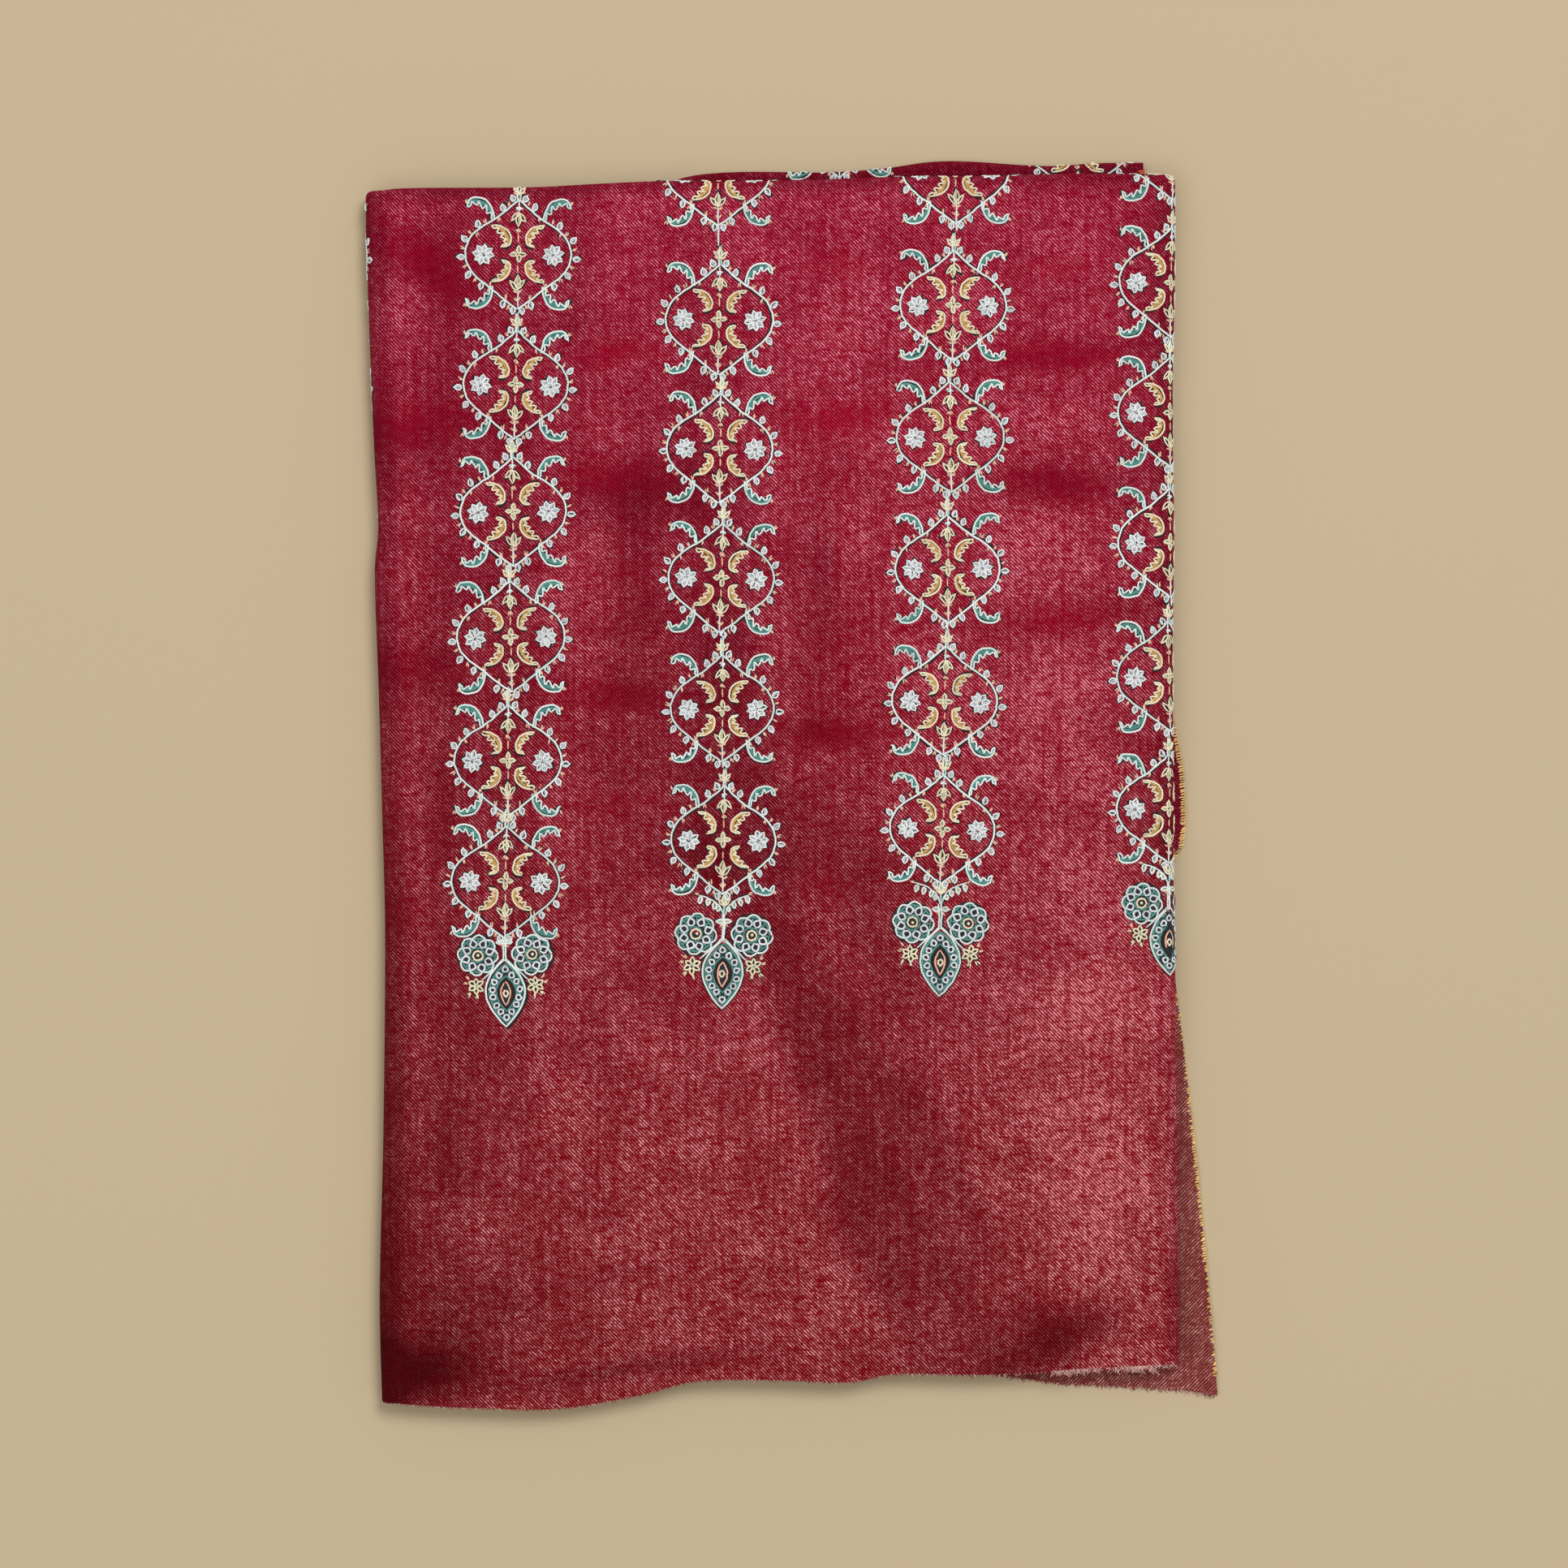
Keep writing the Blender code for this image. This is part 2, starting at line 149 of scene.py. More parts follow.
ROLL_REACH = 3


def edge_of(rows):
    """A smooth edge through a table's rows: a function that says where it stands at a place along it."""
    along, at = np.array(rows, float).T
    number = np.arange(len(rows))
    after, before = np.minimum(number + 1, number[-1]), np.maximum(number - 1, 0)
    slope = (at[after] - at[before]) / (along[after] - along[before])
    place = np.arange(along[0], along[-1] + 0.5, 1)
    index = np.clip(np.searchsorted(along, place, "right") - 1, 0, len(rows) - 2)
    span = along[index + 1] - along[index]
    t = (place - along[index]) / span
    stand = (
        at[index] * (2 * t**3 - 3 * t**2 + 1)
        + at[index + 1] * (3 * t**2 - 2 * t**3)
        + slope[index] * span * (t**3 - 2 * t**2 + t)
        + slope[index + 1] * span * (t**3 - t**2)
    )
    return lambda wanted: np.interp(wanted, place, stand)


left_edge, right_edge, top_edge, hem_edge = map(edge_of, (LEFT_FOLD, RIGHT_FOLD, TOP_FOLD, FRONT_HEM))


def blend(low, high, share):
    return low + (high - low) * share


def points_of(*coordinates):
    return np.stack(coordinates, axis=-1)


def ease(share):
    share = np.clip(share, 0, 1)
    return share * share * (3 - 2 * share)


def patches(rows, x, y):
    """The sum of soft oval patches at places of the panel. Each row ends with its own strength."""
    total = np.zeros_like(x)
    for middle_x, middle_y, degrees, long, wide, strength in rows:
        turn = math.radians(degrees)
        along = (x - middle_x) * math.cos(turn) + (y - middle_y) * math.sin(turn)
        across = (y - middle_y) * math.cos(turn) - (x - middle_x) * math.sin(turn)
        total += strength * np.exp(-((along / long) ** 2) - (across / wide) ** 2)
    return total


def hollow_depth(x, y):
    """How deep the soft hollows are at places of the panel, in millimetres."""
    total = patches(HOLLOWS, x, y)
    calm = ease((x - left_edge(y)) / EDGE_CALM) * ease((right_edge(y) - x) / EDGE_CALM)
    calm = calm * ease((top_edge(x) - y) / EDGE_CALM)
    return DEEPEST * np.tanh(total / DEEPEST) * calm


def rolled(past, radius):
    """How far a cloth has turned round a fold, and how far out it reaches, past the fold's start."""
    turn = np.minimum(past / radius, math.pi)
    return turn, radius * np.sin(turn) - np.maximum(past - math.pi * radius, 0)


def front_place(s, t):
    """Where the cloth's own places s across and t along lie, on the panel's outer side."""
    left = left_edge(t) + LEFT_RADIUS
    right = right_edge(t) - RIGHT_RADIUS
    x = np.clip(s, left, right)
    flat_top = top_edge(x) - TOP_RADIUS
    y = np.minimum(t, flat_top)
    droop = HEM_DROOP * np.exp(-np.maximum(y - hem_edge(x), 0) / HEM_DROOP_REACH)
    high = PANEL_TOP - hollow_depth(x, y) - droop
    hand = np.where(s < x, -1, 1)
    low = np.where(hand < 0, 0, HIDDEN_LOW)
    turn, reach = rolled(np.abs(s - x), np.where(hand < 0, LEFT_RADIUS, RIGHT_RADIUS))
    top_turn, top_reach = rolled(np.maximum(t - flat_top, 0), TOP_RADIUS)
    depth = FOLD_DEPTH / 2 * (1 - np.cos(top_turn))
    px = x + hand * reach - hand * np.sin(turn) * depth
    half = (high - low) / 2
    pz = low + half + half * np.cos(turn) - np.cos(turn) * depth
    return points_of(px, y + top_reach, pz)


def new_grid(name, columns, rows):
    """A grid added flat, with each point's share across and along it."""
    bpy.ops.object.select_all(action="DESELECT")
    bpy.ops.mesh.primitive_grid_add(
        x_subdivisions=columns - 1, y_subdivisions=rows - 1, size=2, calc_uvs=False
    )
    sheet = bpy.context.object
    sheet.name = sheet.data.name = name
    flat = np.empty(len(sheet.data.vertices) * 3)
    sheet.data.vertices.foreach_get("co", flat)
    return sheet, (flat[0::3] + 1) / 2, (flat[1::3] + 1) / 2


def set_uv(mesh, name, places):
    """A UV map from one place for each point."""
    corner = np.empty(len(mesh.loops), int)
    mesh.loops.foreach_get("vertex_index", corner)
    mesh.uv_layers.new(name=name).data.foreach_set("uv", places[corner].ravel())


def lay_cloth(sheet, place, s, t):
    """Moves a grid's points to their places and keeps the cloth's own places as its UV map."""
    sheet.data.vertices.foreach_set("co", (place(s, t) * MM).ravel())
    set_uv(sheet.data, "cloth", points_of(s, t) * MM)
    sheet.data.update()


def thicken(sheet, thickness):
    """Gives the newest grid, still the active object, the cloth's thickness below its face."""
    wall = sheet.modifiers.new("thickness", "SOLIDIFY")
    wall.thickness = thickness * MM
    wall.offset = -1
    bpy.ops.object.modifier_apply(modifier=wall.name)
    bpy.ops.object.shade_smooth_by_angle(angle=math.radians(40))


def count_of(length, cell):
    """How many points, about a cell apart, a length gets."""
    return int(round(length / cell)) + 1


def bend_of(radius):
    """Distances round half a turn, one for each step of a bend."""
    return np.linspace(0, math.pi * radius, BEND_STEPS + 1)[1:]


# Columns run from the left tuck, round the left fold, across and round the right fold. Each is a
# share across the flat part and a distance past it
columns = count_of(RIGHT_FOLD[0].at - LEFT_FOLD[0].at - LEFT_RADIUS - RIGHT_RADIUS, CELL)
column_share = np.pad(np.linspace(0, 1, columns), BEND_STEPS + 1, "edge")
column_past = np.concatenate([
    [0], -bend_of(LEFT_RADIUS)[::-1], np.zeros(columns), bend_of(RIGHT_RADIUS),
    [math.pi * RIGHT_RADIUS + RIGHT_TUCK],
])
rows = count_of(TOP_FOLD[0].at - FRONT_HEM[0].at, CELL)
row_share = np.pad(np.linspace(0, 1, rows), (0, BEND_STEPS + 1), "edge")
row_past = np.concatenate([np.zeros(rows), bend_of(TOP_RADIUS), [math.pi * TOP_RADIUS + TOP_TUCK]])

front, across, along = new_grid("front_cloth", len(column_share), len(row_share))
column = np.rint(across * (len(column_share) - 1)).astype(int)
row = np.rint(along * (len(row_share) - 1)).astype(int)
middle = (FRONT_HEM[0].at + TOP_FOLD[0].at) / 2
x = blend(left_edge(middle), right_edge(middle), column_share[column])
for sweep in range(2):
    y = blend(hem_edge(x), top_edge(x) - TOP_RADIUS, row_share[row])
    x = blend(left_edge(y) + LEFT_RADIUS, right_edge(y) - RIGHT_RADIUS, column_share[column])
# The first column is the cloth's tuck, whose edge lies along the left seam
s = np.where(column == 0, x - math.pi * LEFT_RADIUS - (LEFT_SEAM - x), x + column_past[column])
lay_cloth(front, front_place, s, y + row_past[row])
# Painted shade and painted light, kept on each point for the twill: shade in the soft hollows and along the
# rolled fold edges, and the broad painted patches
to_edge = np.minimum(top_edge(x) - TOP_RADIUS - y, right_edge(y) - RIGHT_RADIUS - x)
to_edge = np.maximum(np.minimum(to_edge, x - left_edge(y) - LEFT_RADIUS), 0)
painted_roll_shade = ROLL_SHADE * np.exp(-((to_edge / ROLL_REACH) ** 2))
hollow, tone = np.clip(patches(HOLLOWS, x, y) / DEEPEST, 0, 1), patches(PAINTED_SHADES, x, y) - painted_roll_shade
for name, values in (("hollow", hollow), ("tone", tone)):
    front.data.attributes.new(name, "FLOAT", "POINT").data.foreach_set("value", values)
thicken(front, CLOTH)


class Wire:
    """A shader value. Arithmetic on it adds the Math nodes that work it out."""

    def __init__(self, finish, socket):
        self.finish = finish
        self.socket = socket

    def worked(self, operation, *values):
        node = self.finish.node("Math", dict(enumerate(values)), operation=operation)
        return Wire(self.finish, node.outputs[0])

    def __add__(self, other):
        return self.worked("ADD", self, other)

    def __sub__(self, other):
        return self.worked("SUBTRACT", self, other)

    def __rsub__(self, other):
        return self.worked("SUBTRACT", other, self)

    def __mul__(self, other):
        return self.worked("MULTIPLY", self, other)

    def __truediv__(self, other):
        return self.worked("DIVIDE", self, other)

    def wave(self):
        """0 to 1 and back, once for each whole number."""
        return self.worked("COSINE", self * math.tau) * 0.5 + 0.5

    def clamped(self, low=0, high=1):
        node = self.finish.node("Clamp", {0: self, 1: low, 2: high})
        return Wire(self.finish, node.outputs[0])

    def step(self, start, end):
        """0 below start and 1 past end, with a smooth rise between."""
        limits = {0: self, 1: start, 2: end}
        node = self.finish.node("MapRange", limits, interpolation_type="SMOOTHSTEP")
        return Wire(self.finish, node.outputs[0])

    __radd__ = __add__
    __rmul__ = __mul__


class Finish:
    """A material under construction: its Principled shader's roughness, shine, sheen and nodes."""

    def __init__(self, name, roughness, shine, sheen=0):
        self.material = bpy.data.materials.new(name)
        self.material.use_nodes = True
        self.tree = self.material.node_tree
        self.shader = self.tree.nodes["Principled BSDF"]
        self.shader.inputs["Roughness"].default_value = roughness
        self.shader.inputs["Specular IOR Level"].default_value = shine
        self.shader.inputs["Sheen Weight"].default_value = sheen

    def node(self, kind, inputs, **settings):
        made = self.tree.nodes.new("ShaderNode" + kind)
        for name, value in settings.items():
            setattr(made, name, value)
        for name, value in inputs.items():
            self.feed(made.inputs[name], value)
        return made

    def feed(self, socket, value):
        if isinstance(value, Wire):
            value = value.socket
        if isinstance(value, bpy.types.NodeSocket):
            self.tree.links.new(value, socket)
        else:
            socket.default_value = value

    def place(self, x, y, z=0):
        return self.node("CombineXYZ", {0: x, 1: y, 2: z}).outputs[0]

    def noise(self, x, y, detail=2, rough=0.5):
        """Soft noise, 0 to 1, about one blob for each whole number."""
        inputs = {"Vector": self.place(x, y), "Scale": 1, "Detail": detail, "Roughness": rough}
        return Wire(self, self.node("TexNoise", inputs, noise_dimensions="2D").outputs[0])

    def speckle(self, x, y):
        """A random value, 0 to 1, for each whole cell."""
        cell = self.place(x.worked("FLOOR", x), y.worked("FLOOR", y))
        return Wire(self, self.node("TexWhiteNoise", {0: cell}, noise_dimensions="2D").outputs[0])

    def attribute(self, name, output="Fac"):
        return Wire(self, self.node("Attribute", {}, attribute_name=name).outputs[output])

    def apart(self, place):
        """A place's own numbers."""
        return [Wire(self, output) for output in self.node("SeparateXYZ", {0: place}).outputs]

    def mapped(self, name):
        """Across and along a UV map."""
        return self.apart(self.node("UVMap", {}, uv_map=name).outputs[0])[:2]

    def pattern(self, x, y, row):
        """Noise that is stretched between a pattern's two limits."""
        return self.noise(x / row.wide, y / row.high, row.detail, row.rough).step(row.none, row.full)

    def mix(self, share, start, end):
        return self.node("Mix", {0: share, 6: start, 7: end}, data_type="RGBA").outputs[2]

    def paint(self, colour):
        self.feed(self.shader.inputs["Base Color"], colour)

    def bump(self, height, depth, strength):
        made = self.node("Bump", {"Height": height, "Distance": depth, "Strength": strength})
        self.feed(self.shader.inputs["Normal"], made.outputs[0])


def rgb(red, green, blue):
    """A colour as seen, 0 to 255, as the shader's own linear values."""
    shares = (value / 255 for value in (red, green, blue))
    return (*(v / 12.92 if v <= 0.04045 else ((v + 0.055) / 1.055) ** 2.4 for v in shares), 1)


# Twill line and yarn spacings on the cloth
TWILL_STEP = 1.485
YARN = 0.371

# The twill runs from a darker, more orange red at the packet's foot to a brighter, more magenta red
# at its head, this far each way from its middle
HALF_LENGTH = 250

# The twill's uneven parts: a blob's size across and along in millimetres, its detail and
# roughness, and the noise at which the part is absent and full
Pattern = namedtuple("Pattern", "wide high detail rough none full")
DASH = Pattern(2.8, 1.5, 3, 0.68, 0.34, 0.66)
SLUB = Pattern(9, 0.9, 2, 0.6, 0.28, 0.46)
FLUSH = Pattern(6, 3.6, 5, 0.78, 0.27, 0.52)
CLUMP = Pattern(3.4, 3.8, 3, 0.7, 0.3, 0.72)
CLOUD = Pattern(38, 26, 3, 0.55, 0.28, 0.72)
STREAK = Pattern(2, 60, 1, 0.5, 0.25, 0.75)

# A twill's colours: the warp in painted shade and in painted light, and the weft, each at the
# shawl's foot and head
Dye = namedtuple("Dye", "dark glow pale")
# The colour that painted shade darkens the twill towards
DEEP_SHADE = rgb(20, 4, 8)


def twill(name, slant, foot, head, share, hollows=True):
    """Soft twill with a pale weft showing in slanted lines between dark warp.

    slant is 1 for lines that fall to the right and -1 for the wrong side. foot and head are the
    colours at the shawl's two ends, share is how much weft shows, and the last switch adds the
    panel's painted shade and painted light.
    """
    finish = Finish(name, 0.9, 0.02, 0.03)
    finish.shader.inputs["Sheen Tint"].default_value = (0.9, 0.35, 0.4, 1)
    x, y = (wire / MM for wire in finish.mapped("cloth"))
    waver = finish.noise(x / 14, y / 14) - 0.5
    across_line = x * slant + y
    along_line = x * slant - y
    line = (across_line / TWILL_STEP + waver * 0.5).wave().step(0.08, 1)
    dash = finish.pattern(along_line, across_line, DASH)
    slub, flush, clump, cloud, streak = (
        finish.pattern(x, y, row) for row in (SLUB, FLUSH, CLUMP, CLOUD, STREAK)
    )
    flush = slub * flush
    grain = finish.speckle(x / YARN, y / YARN)
    # How much weft shows: each part leaves the least share and adds up to its gain
    show = line
    for part, least, gain in (
        (dash, 0.25, 1.2), (flush, 0.08, 0.92), (clump, 0.35, 1.25), (grain, 0.4, 1.1), (streak, 0.55, 0.7),
        (cloud, 0.55, 0.6),
    ):
        show = show * (least + gain * part)
    show = show * (share * 0.72)
    # The warp's share of its lit colour: painted shade in the valleys between thick weft lines, and random
    # tone
    glow = 0.4 - flush * (0.34 - 0.85 * line) + 0.1 * cloud + 0.2 * grain
    high = (y / HALF_LENGTH).step(-1, 1)
    dyes = [finish.mix(high, low_end, high_end) for low_end, high_end in zip(foot, head)]
    # Painted shade in the soft hollows and along the rolled edges, and the broad patches of painted shade and
    # painted light: fewer pale weft lines and a darker mix where shaded, more weft where lit
    shadow = 0
    if hollows:
        hollow_painted_shade = finish.attribute("hollow") * (0.35 + 1.2 * finish.noise(x / 14, y / 5, 5, 0.72))
        hollow_painted_shade = hollow_painted_shade.step(0.2, 0.95)
        tone = finish.attribute("tone")
        shadow = (tone * -1.6).clamped(0, 0.7)
        show = show * (1 - 0.86 * hollow_painted_shade) * (1 + 3 * tone.clamped()) * (1 - 1.3 * shadow)
        glow = glow + 0.06 * hollow_painted_shade + 0.4 * tone.clamped()
    ground = finish.mix(glow.clamped(), dyes[0], dyes[1])
    woven = finish.mix(show.clamped(), ground, dyes[2])
    finish.paint(finish.mix(shadow, woven, DEEP_SHADE))
    finish.bump(line * 0.6 + grain * 0.25 + slub * 0.4, 0.00022, 0.5)
    return finish.material


CRIMSON_FOOT = Dye(rgb(52, 0, 4), rgb(150, 3, 18), rgb(246, 158, 162))
CRIMSON_HEAD = Dye(rgb(70, 0, 14), rgb(174, 4, 46), rgb(246, 134, 160))
face_twill = twill("crimson_twill", 1, CRIMSON_FOOT, CRIMSON_HEAD, 0.9)
front.data.materials.append(face_twill)
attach(front, "root")
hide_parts("front_panel")

# Hidden layers
# The folded cloth between the front panel and the table layers. Only its edges show, so eight
# folds share one closed form, each rounded at its edge and set back by its own amount.

# One row for each fold: how far it stays behind the top fold and behind the hem
Fold = namedtuple("Fold", "top hem")
HIDDEN_FOLDS = table(
    Fold,
    (22, 5.4), (19, 7.2), (2.6, 4.4), (3.8, 8.2), (2.8, 5), (6.4, 4.2), (9.4, 7), (9, 5.8),
)
SOLID_WALL = 1.2
CLEARANCE = 0.9
GROOVE = 0.7
SEAM_GROOVE = 1.5
WAVER = 0.3

# The four sides of a fold, in turn: the corner that each starts from, the way it runs, its cells,
# its length, and the rounding of its first and last corners
Side = namedtuple("Side", "start run cells length first last")
SIDES = table(
    Side,
    ((0, 0), (1, 0), 60, 330, 6, 6), ((1, 0), (0, 1), 90, 490, 6, 24),
    ((1, 1), (-1, 0), 60, 330, 24, 24), ((0, 1), (0, -1), 90, 490, 24, 6),
)


def new_piece(name, points, faces, crease):
    """A piece from its points in millimetres and its faces, smooth but for edges past the crease."""
    mesh = bpy.data.meshes.new(name)
    mesh.from_pydata(points * MM, [], faces)
    mesh.shade_smooth()
    mesh.set_sharp_from_angle(angle=math.radians(crease))
    piece = bpy.data.objects.new(name, mesh)
    bpy.context.collection.objects.link(piece)
    return piece


def bend_inset(height, low, radius):
    inner = radius - SOLID_WALL - GAP
    return radius - math.sqrt(max(inner**2 - (height - low - radius) ** 2, 0))


def layer_ring(height, fold, groove):
    """A closed ring of points round the packet at one height."""
    left = bend_inset(height, 0, LEFT_RADIUS)
    right = bend_inset(height, HIDDEN_LOW, RIGHT_RADIUS)
    if height <= HIDDEN_LOW + SOLID_WALL + GAP:
        right = RIGHT_RADIUS + RIGHT_TUCK + GAP
    groups = []
    for side in SIDES:
        share = np.arange(side.cells) / side.cells
        across = side.start[0] + side.run[0] * share
        up = side.start[1] + side.run[1] * share
        x = blend(LEFT_FOLD[0].at, RIGHT_FOLD[0].at, across)
        for sweep in range(2):
            y = blend(hem_edge(x) + fold.hem + groove, top_edge(x) - fold.top - groove, up)
            low = left_edge(y) + left + CLEARANCE + groove
            x = blend(low, right_edge(y) - right - CLEARANCE - groove, across)
        shift, inward = np.zeros((2, side.cells))
        for away, radius, hand in ((share, side.first, 1), (1 - share, side.last, -1)):
            away = away * side.length
            near = away < radius
            turn = math.pi / 4 * (1 - away / radius)
            shift += np.where(near, hand * (radius - radius * np.sin(turn) - away), 0)
            inward += np.where(near, radius - radius * np.cos(turn), 0)
        inward += WAVER * (1 + np.sin(share * side.length / 17 + height * 2.1)) * (side.run[1] == 0)
        x = x + side.run[0] * shift - side.run[1] * inward
        y = y + side.run[1] * shift + side.run[0] * inward
        groups.append(points_of(x, y, np.full_like(x, height)))
    return np.concatenate(groups)


layer_step = (HIDDEN_HIGH - HIDDEN_LOW) / len(HIDDEN_FOLDS)
rings = []
below = HIDDEN_FOLDS[0]
for number, fold in enumerate(HIDDEN_FOLDS):
    floor_height = HIDDEN_LOW + layer_step * number
    rings.append(layer_ring(floor_height, Fold(*np.maximum(fold, below)), SEAM_GROOVE))
    for rise, groove in ((0.12, GROOVE), (0.3, 0.1), (0.5, 0), (0.7, 0.1), (0.88, GROOVE)):
        rings.append(layer_ring(floor_height + layer_step * rise, fold, groove))
    below = fold
rings.append(layer_ring(HIDDEN_HIGH, below, SEAM_GROOVE))
size = len(rings[0])
faces = [list(reversed(range(size))), [size * (len(rings) - 1) + i for i in range(size)]]
for low in range(0, size * (len(rings) - 1), size):
    for i in range(size):
        after = (i + 1) % size
        faces.append((low + i, low + after, low + size + after, low + size + i))
hidden = new_piece("hidden_folds", np.concatenate(rings), faces, 60)

layers = Finish("crimson_layers", 0.9, 0.15, 0.1)
spot = layers.node("TexCoord", {}).outputs["Object"]
across_mm, along_mm, up_mm = (wire / MM for wire in layers.apart(spot))
yarn_ends = layers.noise((across_mm + along_mm * 0.7) / 0.45, up_mm / 0.3)
tone = layers.noise(across_mm / 14, along_mm / 14, 3)
# Painted shade in the seams between one fold and the next
between = ((up_mm - HIDDEN_LOW) / layer_step).wave().step(0.55, 1)
layer_colour = layers.mix((yarn_ends * 0.8 + tone * 0.5 - 0.3).clamped(), rgb(92, 8, 16), rgb(176, 62, 78))
layer_colour = layers.mix(between * 0.8, layer_colour, rgb(38, 3, 6))
layers.paint(layer_colour)
layers.bump(yarn_ends, 0.0003, 0.6)
hidden.data.materials.append(layers.material)
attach(hidden, "root")
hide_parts("hidden_layers")

# Rear fold
# The inner layer of the third that is folded behind, face up. Its folded edge stands past the top
# fold, rolls down to the table, and its selvedge bulges out past the right fold.

# Folded edge of the rear layers: along X, stands at Y
REAR_FOLD = table(
    Edge,
    (-162, 240), (-90, 242.5), (-56, 247.4), (-40, 251.4), (-20, 252.8), (14, 252.6), (38, 254.2),
    (56, 256.8), (70, 257.2), (106, 255.2), (126, 256.4), (145, 256.6),
)

# Selvedge of the rear layer, with the bulge past the right fold: along Y, stands at X
REAR_SELVEDGE = table(
    Edge,
    (-240, 149.5), (-60, 150), (-40, 152.5), (-31, 158), (-25, 161.2), (-12, 162.1), (5, 161.2),
    (24, 158), (45, 154), (90, 150.5), (150, 147.5), (257, 145),
)
REAR_LEFT = LEFT_SEAM + GAP
REAR_HEM = -233
REAR_SEAM = 232
REAR_RADIUS = 2
REAR_SWELL_REACH = 13
REAR_CELL = 4
REAR_LENGTH_CELL = 5
REAR_SWELL_ROWS = 14
rear_edge, rear_selvedge = map(edge_of, (REAR_FOLD, REAR_SELVEDGE))


def rear_place(s, t):
    """Where the rear layer's own places lie: s across, t up to its fold and then round it."""
    flat_top = rear_edge(s) - REAR_RADIUS
    y = np.minimum(t, flat_top)
    swell = ease(1 - (flat_top - y) / REAR_SWELL_REACH)
    turn, reach = rolled(np.maximum(t - flat_top, 0), REAR_RADIUS)
    pz = blend(REAR_TOP, FOLD_DEPTH, swell) - REAR_RADIUS * (1 - np.cos(turn))
    return points_of(s + 0 * y, y + reach, pz)


columns = count_of(REAR_SELVEDGE[0].at - REAR_LEFT, REAR_CELL)
rows = count_of(REAR_FOLD[0].at - REAR_SWELL_REACH - REAR_CELL - REAR_HEM, REAR_LENGTH_CELL)
swell_start = 1 - (REAR_SWELL_REACH + REAR_CELL) / (REAR_FOLD[0].at - REAR_HEM)
swell_share = np.linspace(swell_start, 1, REAR_SWELL_ROWS)
flat_share = np.concatenate([np.linspace(0, swell_start, rows)[:-1], swell_share])
row_share = np.pad(flat_share, (0, BEND_STEPS + 1), "edge")
row_past = np.concatenate([np.zeros(len(flat_share)), bend_of(REAR_RADIUS), [0]])
rear, across, along = new_grid("rear_cloth", columns, len(row_share))
row = np.rint(along * (len(row_share) - 1)).astype(int)
x = blend(REAR_LEFT, REAR_SELVEDGE[0].at, across)
for sweep in range(2):
    y = blend(REAR_HEM, rear_edge(x) - REAR_RADIUS, row_share[row])
    x = blend(REAR_LEFT, rear_selvedge(y), across)
# The last row lies along the rear seam
t = np.where(row == len(row_past) - 1, y + math.pi * REAR_RADIUS + (y - REAR_SEAM), y + row_past[row])
lay_cloth(rear, rear_place, x, t)
thicken(rear, CLOTH)
# The rear layer is the front's crimson face again, painted darker with less weft showing as the shade under
# the front's fold
SHADED_DYE = Dye(rgb(60, 0, 12), rgb(132, 4, 32), rgb(206, 96, 118))
shaded_twill = twill("crimson_twill_shaded", 1, SHADED_DYE, SHADED_DYE, 0.4, False)
rear.data.materials.append(shaded_twill)
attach(rear, "root")
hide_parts("rear_fold")

# Back panel
# The outer layer of the same third, wrong side up on the table. Its selvedge runs out past the
# right fold towards the hem, and its raw hem shows below the front panel's.

# Raw hem of the back panel: along X, stands at Y
BACK_HEM = table(
    Edge,
    (-160, -246), (-60, -241), (40, -240.4), (80, -243.8), (106, -247.4), (140, -249.4), (160, -250.6),
    (176, -253),
)

# Selvedge of the back panel: along Y, stands at X
BACK_SELVEDGE = table(
    Edge,
    (-253, 176), (-212, 172.4), (-178, 169.2), (-145, 165.8), (-112, 162.2), (-80, 158.4), (-40, 154),
    (40, 151), (240, 146),
)

# The free strip past the right fold lifts over a reach, below a height. Each wave of it has its
# rise, length and start
FREE_REACH = 10
FREE_BELOW = -60
FREE_LIFT = 0.56
FREE_WAVES = ((0.35, 13, 0), (0.2, 5.3, 1))
BACK_COLUMNS, BACK_ROWS = 96, 130
back_hem, back_selvedge = map(edge_of, (BACK_HEM, BACK_SELVEDGE))


def back_place(s, t):
    """The back panel lies on the table, with its free strip lifted a little by the cloth's spring."""
    free = ease((s - right_edge(t)) / FREE_REACH) * ease((FREE_BELOW - t) / -FREE_BELOW)
    lift = FREE_LIFT
    for rise, length, start in FREE_WAVES:
        lift = lift + rise * np.sin(t / length + start)
    return points_of(s, t, SOLID_WALL + free * lift)


back, across, along = new_grid("back_cloth", BACK_COLUMNS, BACK_ROWS)
x = blend(REAR_LEFT, BACK_SELVEDGE[0].at, across)
for sweep in range(3):
    y = blend(back_hem(x), REAR_SEAM - GAP, along)
    x = blend(REAR_LEFT, back_selvedge(y), across)
lay_cloth(back, back_place, x, y)
thicken(back, SOLID_WALL)
WRONG_SIDE_DYE = Dye(rgb(88, 20, 22), rgb(138, 56, 53), rgb(208, 152, 142))
wrong_twill = twill("twill_wrong_side", -1, WRONG_SIDE_DYE, WRONG_SIDE_DYE, 1, False)
back.data.materials.append(wrong_twill)
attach(back, "root")
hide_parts("back_panel")

# Embroidered stripes
# Fine hand embroidery in silk and wool: lines of small stitches in ice white, aqua, teal, gold,
# cream and peach, worked over a dark traced outline that is painted wider and darker as the
# shadow beside and under the stitches. Each stripe is a chain of vine ogees.

